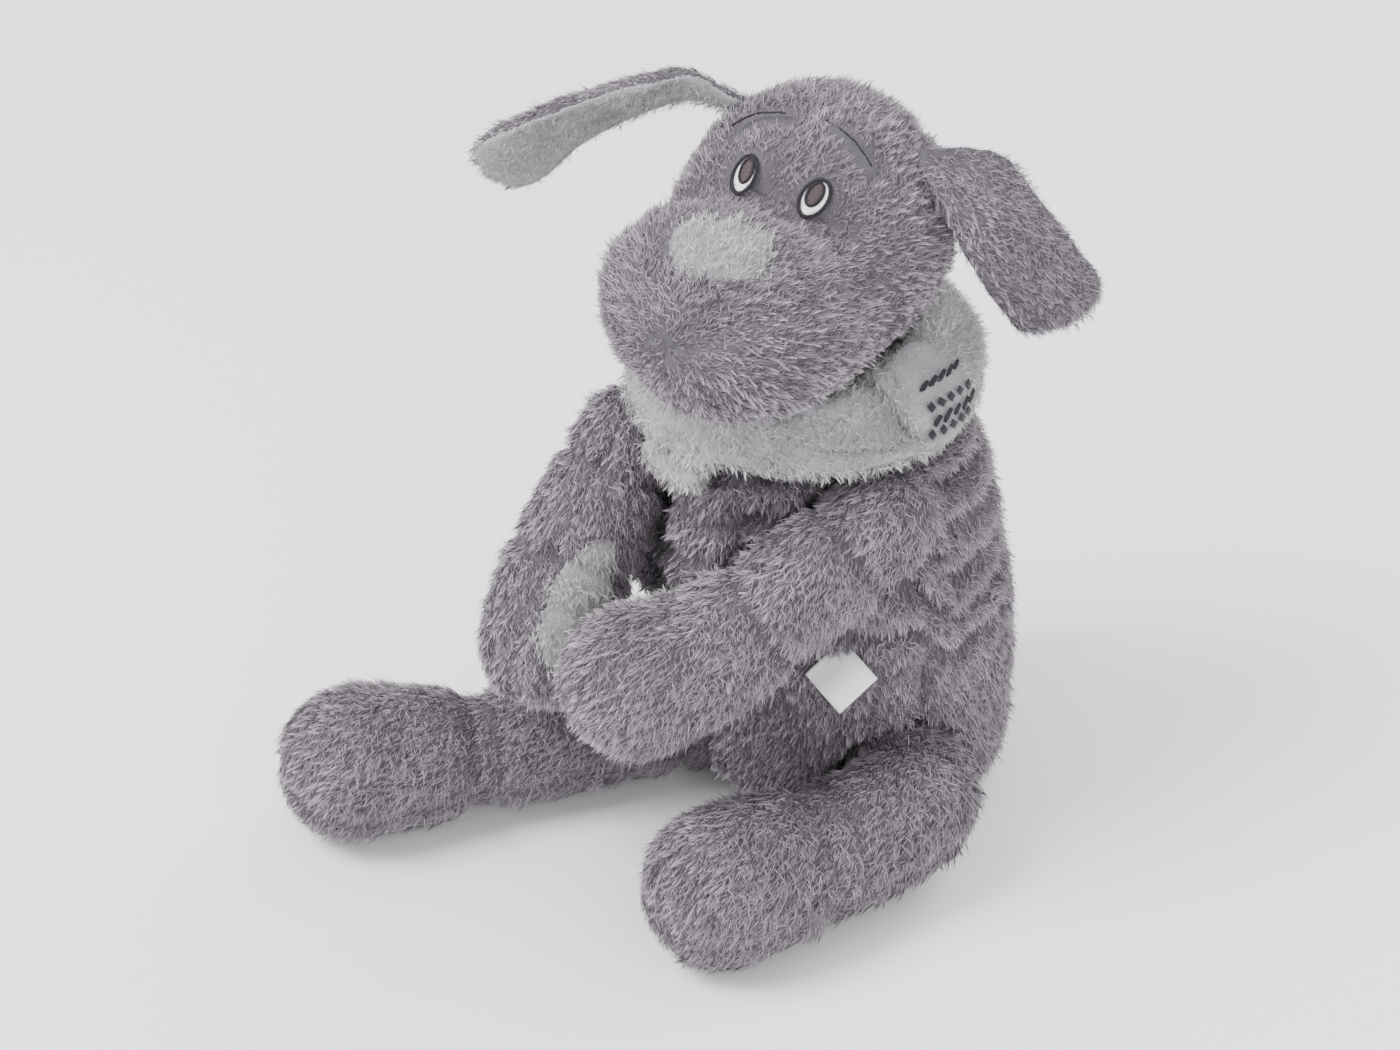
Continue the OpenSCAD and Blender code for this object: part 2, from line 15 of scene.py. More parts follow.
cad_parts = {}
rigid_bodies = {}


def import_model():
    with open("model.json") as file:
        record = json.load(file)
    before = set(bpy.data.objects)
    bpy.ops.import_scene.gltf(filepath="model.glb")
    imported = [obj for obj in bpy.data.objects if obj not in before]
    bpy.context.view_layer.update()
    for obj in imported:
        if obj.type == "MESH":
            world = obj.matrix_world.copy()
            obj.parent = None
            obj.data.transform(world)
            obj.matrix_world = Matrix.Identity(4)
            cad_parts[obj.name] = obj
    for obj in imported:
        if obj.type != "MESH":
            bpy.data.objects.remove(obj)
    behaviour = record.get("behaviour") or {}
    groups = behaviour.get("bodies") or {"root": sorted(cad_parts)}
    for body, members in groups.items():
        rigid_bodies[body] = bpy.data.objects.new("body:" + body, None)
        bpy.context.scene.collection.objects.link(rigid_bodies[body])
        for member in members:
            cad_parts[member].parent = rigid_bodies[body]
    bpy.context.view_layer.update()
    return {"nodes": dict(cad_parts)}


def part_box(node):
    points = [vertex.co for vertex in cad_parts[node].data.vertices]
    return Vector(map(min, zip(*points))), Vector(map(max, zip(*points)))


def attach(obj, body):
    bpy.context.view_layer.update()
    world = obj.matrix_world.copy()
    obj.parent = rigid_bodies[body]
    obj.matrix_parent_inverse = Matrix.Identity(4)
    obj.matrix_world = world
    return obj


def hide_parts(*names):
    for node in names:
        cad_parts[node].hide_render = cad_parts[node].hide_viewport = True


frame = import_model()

MM = 0.001
LOG = logging.getLogger("plush_dog")
# the camera's right, up and backward directions, which the nose and the ears are turned to
SEEN_RIGHT, SEEN_UP = Vector((0.839, 0.545, 0)), Vector((-0.289, 0.445, 0.848))
SEEN_FROM = Vector((0.462, -0.711, 0.53))
PATCH_RAISED = 10 * MM


# ---------------------------------------------------------------- small helpers
def smooth_step(low: float, high: float, value: float) -> float:
    """Ease from 0 at low to 1 at high.

    Args:
        low: where the result is 0.
        high: where the result is 1.
        value: where to read it.

    Returns:
        A number from 0 to 1.
    """
    t = min(max((value - low) / (high - low), 0.0), 1.0)
    return t * t * (3 - 2 * t)


def linear(colour: str) -> tuple[float, float, float, float]:
    """Turn an sRGB hex colour into linear RGBA.

    Args:
        colour: six hex digits.

    Returns:
        Linear red, green, blue and an alpha of 1.
    """
    parts = [int(colour[i:i + 2], 16) / 255 for i in (0, 2, 4)]
    r, g, b = [c / 12.92 if c <= 0.04045 else ((c + 0.055) / 1.055) ** 2.4 for c in parts]
    return (r, g, b, 1.0)


def add_node(tree: bpy.types.NodeTree, kind: str, settings: dict | None = None,
             inputs: dict | None = None) -> bpy.types.Node:
    """Add one node, set it up and link what feeds it.

    Args:
        tree: the node tree.
        kind: the node's type name.
        settings: attribute names and values.
        inputs: socket names or numbers, with a value or an output socket each.

    Returns:
        The new node.
    """
    node = tree.nodes.new(kind)
    for key, value in (settings or {}).items():
        setattr(node, key, value)
    for key, value in (inputs or {}).items():
        if isinstance(value, bpy.types.NodeSocket):
            tree.links.new(value, node.inputs[key])
        else:
            node.inputs[key].default_value = value
    return node


def new_object(name: str, mesh: bpy.types.Mesh) -> bpy.types.Object:
    """Put a mesh into the scene under a name."""
    mesh.name = name
    obj = bpy.data.objects.new(name, mesh)
    bpy.context.scene.collection.objects.link(obj)
    return obj


def from_bmesh(name: str, bm: bmesh.types.BMesh, smooth: bool = True) -> bpy.types.Object:
    """Turn a bmesh into an object and free it.

    Args:
        name: the object's name.
        bm: the finished bmesh.
        smooth: True for smooth shading.

    Returns:
        The new object.
    """
    mesh = bpy.data.meshes.new(name)
    bm.to_mesh(mesh)
    bm.free()
    if smooth:
        mesh.shade_smooth()
    return new_object(name, mesh)


def apply_modifiers(obj: bpy.types.Object) -> None:
    """Write the result of an object's modifiers into its mesh."""
    graph = bpy.context.evaluated_depsgraph_get()
    done = bpy.data.meshes.new_from_object(obj.evaluated_get(graph), depsgraph=graph)
    old = obj.data
    obj.modifiers.clear()
    obj.data = done
    done.name = obj.name
    if not old.users:
        bpy.data.meshes.remove(old)


def discard(obj: bpy.types.Object) -> None:
    """Take a working object and its mesh out of the file."""
    mesh = obj.data
    bpy.data.objects.remove(obj)
    if not mesh.users:
        bpy.data.meshes.remove(mesh)


def relax(bm: bmesh.types.BMesh, factor: float = 0.5, times: int = 1,
          verts: Sequence[bmesh.types.BMVert] | None = None) -> None:
    """Smooth a bmesh along all three axes.

    Args:
        bm: the bmesh to smooth.
        factor: how far each vertex moves.
        times: how often it is done.
        verts: the vertices to smooth, or all of them.
    """
    for _ in range(times):
        bmesh.ops.smooth_vert(bm, verts=bm.verts if verts is None else verts, factor=factor,
                              use_axis_x=True, use_axis_y=True, use_axis_z=True)


def recast(obj: bpy.types.Object, size: float) -> None:
    """Cast an object anew as closed skins with cells of one size."""
    step = obj.modifiers.new("cast", "REMESH")
    step.mode = "VOXEL"
    step.voxel_size = size
    apply_modifiers(obj)


def drop_combing(mesh: bpy.types.Mesh) -> None:
    """Take the layers that steer the pile out of a mesh."""
    for name in ("nap", "cover", "pile"):
        if name in mesh.attributes:
            mesh.attributes.remove(mesh.attributes[name])


def cad_copy(nodes: Iterable[str]) -> bmesh.types.BMesh:
    """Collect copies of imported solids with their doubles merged.

    Args:
        nodes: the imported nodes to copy.

    Returns:
        One bmesh that holds them all.
    """
    bm = bmesh.new()
    for node in nodes:
        bm.from_mesh(frame["nodes"][node].data)
    bmesh.ops.remove_doubles(bm, verts=bm.verts, dist=1e-6)
    return bm


def islands(bm: bmesh.types.BMesh) -> list[list[bmesh.types.BMVert]]:
    """List the separate shells of a bmesh.

    Args:
        bm: the bmesh to read.

    Returns:
        The vertices of each shell.
    """
    seen: set[int] = set()
    bm.verts.index_update()
    found = []
    for start in bm.verts:
        if start.index in seen:
            continue
        seen.add(start.index)
        shell, queue = [], [start]
        while queue:
            vert = queue.pop()
            shell.append(vert)
            for edge in vert.link_edges:
                other = edge.other_vert(vert)
                if other.index not in seen:
                    seen.add(other.index)
                    queue.append(other)
        found.append(shell)
    return found


# ---------------------------------------------------------------- finishes
@dataclass(frozen=True)
class Finish:
    """A material that is built the first time a piece asks for it."""

    name: str

    def shader(self, tree: bpy.types.NodeTree) -> dict:
        """Add the finish's nodes and give what feeds the surface shader."""
        raise NotImplementedError

    def material(self) -> bpy.types.Material:
        """Give the finish as a material."""
        mat = bpy.data.materials.get(self.name)
        if mat is None:
            mat = bpy.data.materials.new(self.name)
            mat.use_nodes = True
            tree = mat.node_tree
            tree.nodes.clear()
            bsdf = add_node(tree, "ShaderNodeBsdfPrincipled", None, self.shader(tree))
            add_node(tree, "ShaderNodeOutputMaterial", None, {"Surface": bsdf.outputs["BSDF"]})
        return mat


@dataclass(frozen=True)
class TippedFibre(Finish):
    """Acrylic pile, dark at the root and pale at the tips: soft and heathered. The pale tips are the fibre's
    own colour; the darkening towards the root is partly its dye and partly painted shade deep between the
    fibres.
    """

    root: str
    body: str
    tip: str
    cast: str
    roughness: float = 0.62
    sheen: float = 0.35

    def shader(self, tree: bpy.types.NodeTree) -> dict:
        """Build the fibre material, which reads the place along each fibre."""
        along = add_node(tree, "ShaderNodeAttribute", {"attribute_name": "along"})
        strand = add_node(tree, "ShaderNodeAttribute", {"attribute_name": "strand"})
        tone = add_node(tree, "ShaderNodeAttribute", {"attribute_name": "tone"})
        skin = add_node(tree, "ShaderNodeAttribute", {"attribute_name": "skin_n"})
        # the ramp runs from root to tip: its dark root stop is partly dye and partly painted shade deep in
        # the pile
        ramp = add_node(tree, "ShaderNodeValToRGB", None, {"Fac": along.outputs["Fac"]})
        stops = ramp.color_ramp
        stops.elements[0].color = linear(self.root)
        stops.elements[0].position = 0.05
        stops.elements[1].color = linear(self.tip)
        stops.elements[1].position = 0.95
        middle = stops.elements.new(0.5)
        middle.color = linear(self.body)
        # dyed fibres differ from one to the next, and whole patches lean towards lilac
        lilac = add_node(tree, "ShaderNodeMix", {"data_type": "RGBA", "blend_type": "MULTIPLY"},
                         {"Factor": tone.outputs["Fac"], 6: ramp.outputs["Color"],
                          7: linear(self.cast)})
        value = add_node(tree, "ShaderNodeMapRange", None,
                         {"Value": strand.outputs["Fac"], "To Min": 0.6, "To Max": 1.38})
        patchy = add_node(tree, "ShaderNodeMapRange", None,
                          {"Value": tone.outputs["Fac"], "From Min": 0.3, "From Max": 0.7,
                           "To Min": 1.1, "To Max": 0.86})
        both = add_node(tree, "ShaderNodeMath", {"operation": "MULTIPLY"},
                        {0: value.outputs["Result"], 1: patchy.outputs["Result"]})
        shade = add_node(tree, "ShaderNodeHueSaturation", None,
                         {"Color": lilac.outputs[2], "Value": both.outputs["Value"]})
        geometry = add_node(tree, "ShaderNodeNewGeometry")
        world = add_node(tree, "ShaderNodeVectorTransform",
                         {"vector_type": "NORMAL", "convert_from": "OBJECT", "convert_to": "WORLD"},
                         {"Vector": skin.outputs["Vector"]})
        mixed = add_node(tree, "ShaderNodeMix", {"data_type": "VECTOR"},
                         {"Factor": 0.6, 4: geometry.outputs["Normal"], 5: world.outputs["Vector"]})
        normal = add_node(tree, "ShaderNodeVectorMath", {"operation": "NORMALIZE"},
                          {0: mixed.outputs[1]})
        return {"Base Color": shade.outputs["Color"], "Roughness": self.roughness,
                "Specular IOR Level": 0.3, "Sheen Weight": self.sheen,
                "Sheen Roughness": 0.45, "Normal": normal.outputs["Vector"]}


@dataclass(frozen=True)
class KnitBacking(Finish):
    """Warp-knit polyester ground cloth: a fine matt loop texture, seen only between the fibres."""

    colour: str
    loop: float = 1.1 * MM

    def shader(self, tree: bpy.types.NodeTree) -> dict:
        """Build the ground cloth material."""
        place = add_node(tree, "ShaderNodeTexCoord")
        loops = add_node(tree, "ShaderNodeTexVoronoi", {"feature": "F1"},
                         {"Vector": place.outputs["Object"], "Scale": 1 / self.loop})
        mottle = add_node(tree, "ShaderNodeTexNoise", None,
                          {"Vector": place.outputs["Object"], "Scale": 1 / (9 * MM), "Detail": 3.0})
        dark = tuple(c * 0.55 for c in linear(self.colour)[:3]) + (1.0,)
        tint = add_node(tree, "ShaderNodeMix", {"data_type": "RGBA"},
                        {"Factor": mottle.outputs["Fac"], 6: dark, 7: linear(self.colour)})
        bump = add_node(tree, "ShaderNodeBump", None,
                        {"Height": loops.outputs["Distance"], "Strength": 0.6,
                         "Distance": 0.3 * MM})
        return {"Base Color": tint.outputs[2], "Roughness": 0.9,
                "Specular IOR Level": 0.2, "Normal": bump.outputs["Normal"]}


@dataclass(frozen=True)
class SatinThread(Finish):
    """Rayon embroidery thread in satin stitch: a silky gloss along the thread and a fine ply twist."""

    colour: str
    second: str
    gloss: float = 0.5
    ply: float = 0.35 * MM

    def shader(self, tree: bpy.types.NodeTree) -> dict:
        """Build the thread material."""
        place = add_node(tree, "ShaderNodeTexCoord")
        twist = add_node(tree, "ShaderNodeTexWave", {"bands_direction": "DIAGONAL"},
                         {"Vector": place.outputs["Object"], "Scale": 1 / (self.ply * 6),
                          "Distortion": 2.0, "Detail": 2.0})
        fleck = add_node(tree, "ShaderNodeTexNoise", None,
                         {"Vector": place.outputs["Object"], "Scale": 1 / (0.8 * MM)})
        tint = add_node(tree, "ShaderNodeMix", {"data_type": "RGBA"},
                        {"Factor": fleck.outputs["Fac"], 6: linear(self.colour),
                         7: linear(self.second)})
        bump = add_node(tree, "ShaderNodeBump", None,
                        {"Height": twist.outputs["Fac"], "Strength": 0.35,
                         "Distance": 0.08 * MM})
        return {"Base Color": tint.outputs[2], "Roughness": 0.42,
                "Specular IOR Level": self.gloss, "Normal": bump.outputs["Normal"]}


@dataclass(frozen=True)
class SatinRibbon(Finish):
    """Woven polyester satin: white, with a soft gloss across long floats and a fine cross weave."""

    colour: str
    pick: float = 0.45 * MM

    def shader(self, tree: bpy.types.NodeTree) -> dict:
        """Build the ribbon material on the ribbon's own map, in metres."""
        flat = add_node(tree, "ShaderNodeUVMap", {"uv_map": "cloth"})
        weave = add_node(tree, "ShaderNodeTexWave", {"bands_direction": "Y"},
                         {"Vector": flat.outputs["UV"], "Scale": 1 / (self.pick * 6.28),
                          "Distortion": 0.4, "Detail": 1.0})
        floats = add_node(tree, "ShaderNodeTexNoise", None,
                          {"Vector": flat.outputs["UV"], "Scale": 1 / (1.6 * MM), "Detail": 3.0})
        pale = tuple(c * 0.93 for c in linear(self.colour)[:3]) + (1.0,)
        tint = add_node(tree, "ShaderNodeMix", {"data_type": "RGBA"},
                        {"Factor": floats.outputs["Fac"], 6: pale, 7: linear(self.colour)})
        bump = add_node(tree, "ShaderNodeBump", None,
                        {"Height": weave.outputs["Fac"], "Strength": 0.25, "Distance": 0.05 * MM})
        return {"Base Color": tint.outputs[2], "Roughness": 0.34, "Sheen Weight": 0.2,
                "Normal": bump.outputs["Normal"]}


@dataclass(frozen=True)
class WovenFill(Finish):
    """Carded fibre or bag cotton, hidden inside: a cloudy white mass or a plain weave."""

    colour: str
    grain: float
    depth: float

    def shader(self, tree: bpy.types.NodeTree) -> dict:
        """Build the material of what is inside the skins."""
        place = add_node(tree, "ShaderNodeTexCoord")
        grain = add_node(tree, "ShaderNodeTexNoise", None,
                         {"Vector": place.outputs["Object"], "Scale": 1 / self.grain,
                          "Detail": 5.0, "Roughness": 0.7})
        pale = linear(self.colour)
        dull = tuple(c * 0.8 for c in pale[:3]) + (1.0,)
        tint = add_node(tree, "ShaderNodeMix", {"data_type": "RGBA"},
                        {"Factor": grain.outputs["Fac"], 6: dull, 7: pale})
        bump = add_node(tree, "ShaderNodeBump", None,
                        {"Height": grain.outputs["Fac"], "Strength": 0.5, "Distance": self.depth})
        return {"Base Color": tint.outputs[2], "Roughness": 0.88,
                "Normal": bump.outputs["Normal"]}


# each pile's first colour is its fibres' darker root end: partly dye and partly painted shade deep in the
# pile
HEATHER = TippedFibre("acrylic_pile_heather_tipped", "433D44", "988F99", "E6E0E5", "DED3E0")
PALE = TippedFibre("acrylic_pile_pale_grey", "A3A1A0", "DDDBDA", "FDFCFC", "F4F2F3", sheen=0.25)
GROUND = KnitBacking("polyester_knit_ground_dark", "5F5A62")
GROUND_PALE = KnitBacking("polyester_knit_ground_pale", "A5A5AA")
DARK_THREAD = SatinThread("rayon_thread_satin_stitch_dark", "17131A", "2B252E", gloss=0.22)
BROWN_THREAD = SatinThread("rayon_thread_satin_stitch_brown", "3F383A", "5C5254", gloss=0.2)
WHITE_THREAD = SatinThread("rayon_thread_satin_stitch_white", "E9E8E6", "FFFFFF")
RIBBON = SatinRibbon("polyester_satin_ribbon_woven", "F4F4F5")
FIBREFILL = WovenFill("polyester_fibrefill_carded", "F3F2EE", 4 * MM, 0.8 * MM)
BAG_CLOTH = WovenFill("cotton_bag_plain_weave", "DDD9CC", 0.8 * MM, 0.2 * MM)


@dataclass(frozen=True)
class Pile:
    """One kind of plush: its fibres, its ground cloth and how they stand."""

    fibre: TippedFibre
    ground: KnitBacking
    slot: str
    length: float = 6.8 * MM
    per_mm2: float = 0.8
    lean: float = 0.76
    jitter: float = 0.2


LONG_HEATHER = Pile(HEATHER, GROUND, "heather_plush")
SHORT_PALE = Pile(PALE, GROUND_PALE, "pale_plush", length=5.0 * MM, per_mm2=0.8, lean=0.55, jitter=0.36)
NOSE_PALE = Pile(PALE, GROUND_PALE, "pale_plush", length=7.0 * MM, per_mm2=1.0, lean=0.5, jitter=0.42)


def heather(*panels: str) -> dict[str, Pile]:
    """Give panels that are all cut from the long heathered plush."""
    return dict.fromkeys(panels, LONG_HEATHER)


# ---------------------------------------------------------------- pile
@dataclass
class PileGrower:
    """Grows tufts on a skin: small bundles of tapered fibres, combed along the skin's nap."""

    fibres: int = 4
    kinds: int = 6
    width: float = 0.068
    tree: bpy.types.NodeTree | None = None
    box: bpy.types.Collection | None = None
    grown: int = 0

    def tuft(self, kind: int) -> bpy.types.Object:
        """Model one tuft of unit length along +Z, its outer side towards +Y.

        Args:
            kind: which variation to make.

        Returns:
            The tuft as an object.
        """
        bm = bmesh.new()
        along = bm.verts.layers.float.new("along")
        strand = bm.verts.layers.float.new("strand")
        for i in range(self.fibres):
            def rand(k: int) -> float:
                """Give a repeatable number from -1 to 1."""
                return noise.cell(Vector((kind * 7.3 + 0.5, i * 3.1 + 0.5, k * 5.7 + 0.5))) * 2 - 1
            wide = self.width * (1 + 0.3 * rand(0))
            tall = 0.86 + 0.16 * rand(1)
            root = Vector((0.13 * rand(2), 0.1 * rand(3), 0))
            turn = 0.9 * rand(4)
            side = Vector((math.cos(turn), math.sin(turn), 0)) * wide / 2
            mid = root * 0.75 + Vector((0.05 * rand(5), 0.07 + 0.04 * rand(6), 0.52 * tall))
            tip = root * 0.35 + Vector((0.13 * rand(7), -0.03 + 0.1 * rand(8), tall))
            first = [bm.verts.new(root - side), bm.verts.new(root + side)]
            edge = bm.edges.new(first)
            grown = bmesh.ops.extrude_edge_only(bm, edges=[edge])["geom"]
            upper = [g for g in grown if isinstance(g, bmesh.types.BMVert)]
            for vert in upper:
                vert.co += mid - root
                vert.co = mid + (vert.co - mid) * 0.85
            top = [g for g in grown if isinstance(g, bmesh.types.BMEdge)
                   and all(v in upper for v in g.verts)]
            last = bmesh.ops.extrude_edge_only(bm, edges=top)["geom"]
            point = [g for g in last if isinstance(g, bmesh.types.BMVert)]
            for vert in point:
                vert.co = tip
            shade = 0.5 + 0.5 * rand(9)
            for vert, value in zip(first + upper + point, (0, 0, 0.52, 0.52, 1, 1)):
                vert[along] = value
                vert[strand] = shade
            bmesh.ops.pointmerge(bm, verts=point, merge_co=tip)
            bmesh.ops.pointmerge(bm, verts=first, merge_co=root)
        bmesh.ops.recalc_face_normals(bm, faces=bm.faces)
        mesh = bpy.data.meshes.new(f"tuft_{kind}")
        bm.to_mesh(mesh)
        bm.free()
        return bpy.data.objects.new(mesh.name, mesh)

    def prepare(self) -> None:
        """Make the tufts and the node tree that sets them on a skin."""
        self.box = bpy.data.collections.new("tufts")
        for kind in range(self.kinds):
            self.box.objects.link(self.tuft(kind))
        tree = bpy.data.node_groups.new("pile_growth", "GeometryNodeTree")
        face = tree.interface
        face.new_socket("Geometry", in_out="INPUT", socket_type="NodeSocketGeometry")
        for name in ("Density", "Length", "Lean", "Jitter"):
            face.new_socket(name, in_out="INPUT", socket_type="NodeSocketFloat")
        face.new_socket("Seed", in_out="INPUT", socket_type="NodeSocketInt")
        face.new_socket("Fibre", in_out="INPUT", socket_type="NodeSocketMaterial")
        face.new_socket("Geometry", in_out="OUTPUT", socket_type="NodeSocketGeometry")
        given = add_node(tree, "NodeGroupInput").outputs

        def attribute(name: str, kind: str) -> bpy.types.NodeSocket:
            """Read a named attribute of the skin."""
            node = add_node(tree, "GeometryNodeInputNamedAttribute", {"data_type": kind},
                            {"Name": name})
            return node.outputs["Attribute"]

        def vector(operation: str, a: object, b: object) -> bpy.types.NodeSocket:
            """Work out a vector from two others."""
            key = "Scale" if operation == "SCALE" else 1
            node = add_node(tree, "ShaderNodeVectorMath", {"operation": operation}, {0: a})
            if b is not None:
                if isinstance(b, bpy.types.NodeSocket):
                    tree.links.new(b, node.inputs[key])
                else:
                    node.inputs[key].default_value = b
            return node.outputs["Vector"]

        def number(operation: str, a: object, b: object) -> bpy.types.NodeSocket:
            """Work out a number from two others."""
            node = add_node(tree, "ShaderNodeMath", {"operation": operation}, {0: a, 1: b})
            return node.outputs["Value"]

        spread = add_node(tree, "GeometryNodeDistributePointsOnFaces",
                          {"distribute_method": "RANDOM"},
                          {"Mesh": given["Geometry"], "Seed": given["Seed"],
                           "Density": number("MULTIPLY", given["Density"],
                                             attribute("cover", "FLOAT"))})
        place = add_node(tree, "GeometryNodeInputPosition").outputs["Position"]
        lock = add_node(tree, "ShaderNodeTexNoise", {"noise_dimensions": "3D"},
                        {"Vector": place, "Scale": 1 / (3.6 * MM), "Detail": 1.0})
        swirl = add_node(tree, "ShaderNodeTexNoise", {"noise_dimensions": "3D"},
                         {"Vector": place, "Scale": 1 / (14 * MM), "Detail": 1.0})
        wild = add_node(tree, "FunctionNodeRandomValue", {"data_type": "FLOAT_VECTOR"},
                        {0: (-1.0, -1.0, -1.0), 1: (1.0, 1.0, 1.0), "Seed": given["Seed"]})
        up = vector("SCALE", spread.outputs["Normal"], number("SUBTRACT", 1.0, given["Lean"]))
        nap = vector("SCALE", attribute("nap", "FLOAT_VECTOR"), given["Lean"])
        locks = vector("SCALE", vector("SUBTRACT", lock.outputs["Color"], (0.5, 0.5, 0.5)), 1.3)
        swirls = vector("SCALE", vector("SUBTRACT", swirl.outputs["Color"], (0.5, 0.5, 0.5)), 0.9)
        loose = vector("SCALE", wild.outputs["Value"], given["Jitter"])
        way = vector("NORMALIZE", vector("ADD", vector("ADD", vector("ADD", up, nap), loose),
                                         vector("ADD", locks, swirls)), None)
        # no fibre points into the cloth: what leans too far is lifted along the normal
        lift = add_node(tree, "ShaderNodeVectorMath", {"operation": "DOT_PRODUCT"},
                        {0: way, 1: spread.outputs["Normal"]}).outputs["Value"]
        need = number("MAXIMUM", number("SUBTRACT", 0.3, lift), 0.0)
        way = vector("NORMALIZE", vector("ADD", way, vector("SCALE", spread.outputs["Normal"],
                                                            need)), None)
        turned = add_node(tree, "FunctionNodeAxesToRotation",
                          {"primary_axis": "Z", "secondary_axis": "Y"},
                          {"Primary Axis": way, "Secondary Axis": spread.outputs["Normal"]})
        tall = add_node(tree, "FunctionNodeRandomValue", {"data_type": "FLOAT"},
                        {2: 0.75, 3: 1.15, "Seed": given["Seed"]})
        size = number("MULTIPLY", number("MULTIPLY", given["Length"], attribute("pile", "FLOAT")),
                      tall.outputs[1])
        keep_n = add_node(tree, "GeometryNodeStoreNamedAttribute",
                          {"data_type": "FLOAT_VECTOR", "domain": "POINT"},
                          {"Geometry": spread.outputs["Points"], "Name": "skin_n",
                           "Value": spread.outputs["Normal"]})
        keep_t = add_node(tree, "GeometryNodeStoreNamedAttribute",
                          {"data_type": "FLOAT", "domain": "POINT"},
                          {"Geometry": keep_n.outputs["Geometry"], "Name": "tone",
                           "Value": swirl.outputs["Fac"]})
        tufts = add_node(tree, "GeometryNodeCollectionInfo", None,
                         {"Collection": self.box, "Separate Children": True,
                          "Reset Children": True})
        pick = add_node(tree, "FunctionNodeRandomValue", {"data_type": "INT"},
                        {4: 0, 5: self.kinds - 1, "Seed": 3})
        setting = add_node(tree, "GeometryNodeInstanceOnPoints", None,
                           {"Points": keep_t.outputs["Geometry"],
                            "Instance": tufts.outputs["Instances"], "Pick Instance": True,
                            "Instance Index": pick.outputs[2],
                            "Rotation": turned.outputs["Rotation"], "Scale": size})
        real = add_node(tree, "GeometryNodeRealizeInstances", None,
                        {"Geometry": setting.outputs["Instances"]})
        dyed = add_node(tree, "GeometryNodeSetMaterial", None,
                        {"Geometry": real.outputs["Geometry"], "Material": given["Fibre"]})
        add_node(tree, "NodeGroupOutput", None, {"Geometry": dyed.outputs["Geometry"]})
        self.tree = tree

    def grow(self, skin: bpy.types.Object, pile: Pile) -> bpy.types.Object:
        """Grow the pile of a skin as a mesh of its own.

        Args:
            skin: a sheet with the attributes nap, pile and cover.
            pile: what grows on it.

        Returns:
            The pile.
        """
        if self.tree is None:
            self.prepare()
        self.grown += 1
        fur = new_object(skin.name + "_pile", skin.data.copy())
        step = fur.modifiers.new("pile", "NODES")
        step.node_group = self.tree
        thin = 1.0
        values = {"Density": pile.per_mm2 * 1e6 * thin, "Length": pile.length, "Lean": pile.lean,
                  "Jitter": pile.jitter, "Seed": self.grown, "Fibre": pile.fibre.material()}
        for item in self.tree.interface.items_tree:
            if item.in_out == "INPUT" and item.name in values:
                step[item.identifier] = values[item.name]
        apply_modifiers(fur)
        drop_combing(fur.data)
        return fur

    def clear(self) -> None:
        """Take the tufts out of the file once everything has grown."""
        for obj in list(self.box.objects):
            discard(obj)
        bpy.data.collections.remove(self.box)
        bpy.data.node_groups.remove(self.tree)


GROWER = PileGrower()


@dataclass
class ClothRun:
    """A short cloth simulation that puffs a skin out between the places where it is held."""

    held: Callable[[Vector, Vector], float]
    cell: float = 4.5 * MM
    pressure: float = 4.0
    grow: float = 0.05
    frames: int = 20
    reach: float = 8 * MM

    def copy_of(self, bm: bmesh.types.BMesh) -> bpy.types.Object:
        """Make the coarse closed copy that the simulation works on."""
        form = from_bmesh("cloth_run", bm.copy())
        recast(form, self.cell)
        group = form.vertex_groups.new(name="held")
        for vert in form.data.vertices:
            group.add([vert.index], min(max(self.held(vert.co, vert.normal), 0.0), 1.0), "REPLACE")
        return form

    def settle(self, bm: bmesh.types.BMesh) -> None:
        """Move a fine skin the way its coarse copy settles.

        Args:
            bm: the fine skin, whose vertices move.
        """
        form = self.copy_of(bm)
        step = form.modifiers.new("cloth", "CLOTH")
        rules = step.settings
        rules.quality = 5
        rules.mass = 0.3
        rules.tension_stiffness = rules.compression_stiffness = 12
        rules.shear_stiffness = 5
        rules.bending_stiffness = 0.4
        rules.use_pressure = True
        rules.uniform_pressure_force = self.pressure
        rules.shrink_min = -self.grow
        rules.effector_weights.gravity = 0
        rules.vertex_group_mass = "held"
        step.collision_settings.use_collision = False
        step.point_cache.frame_start, step.point_cache.frame_end = 1, self.frames
        scene = bpy.context.scene
        rest = [vert.co.copy() for vert in form.data.vertices]
        for number in range(1, self.frames + 1):
            scene.frame_set(number)
        graph = bpy.context.evaluated_depsgraph_get()
        settled = form.evaluated_get(graph).data
        moves = []
        for start, vert in zip(rest, settled.vertices):
            move = vert.co - start
            moves.append(move * min(1.0, self.reach / max(move.length, 1e-9)))
        tree = BVHTree.FromPolygons(rest, [tuple(f.vertices) for f in form.data.polygons])
        corners = [tuple(f.vertices) for f in form.data.polygons]
        for vert in bm.verts:
            place, _, index, _ = tree.find_nearest(vert.co)
            weights = [1 / ((rest[i] - place).length + 0.3 * MM) for i in corners[index]]
            vert.co += sum((moves[i] * w for i, w in zip(corners[index], weights)),
                           Vector()) / sum(weights)
        far = max(m.length for m in moves)
        LOG.info("cloth run: %d vertices, up to %.1f mm", len(rest), far / MM)
        scene.frame_set(1)
        discard(form)


def no_relief(point: Vector, normal: Vector) -> float:
    """Leave the skin where it is."""
    return 0.0


def full_pile(point: Vector) -> float:
    """Leave the pile at its full length."""
    return 1.0


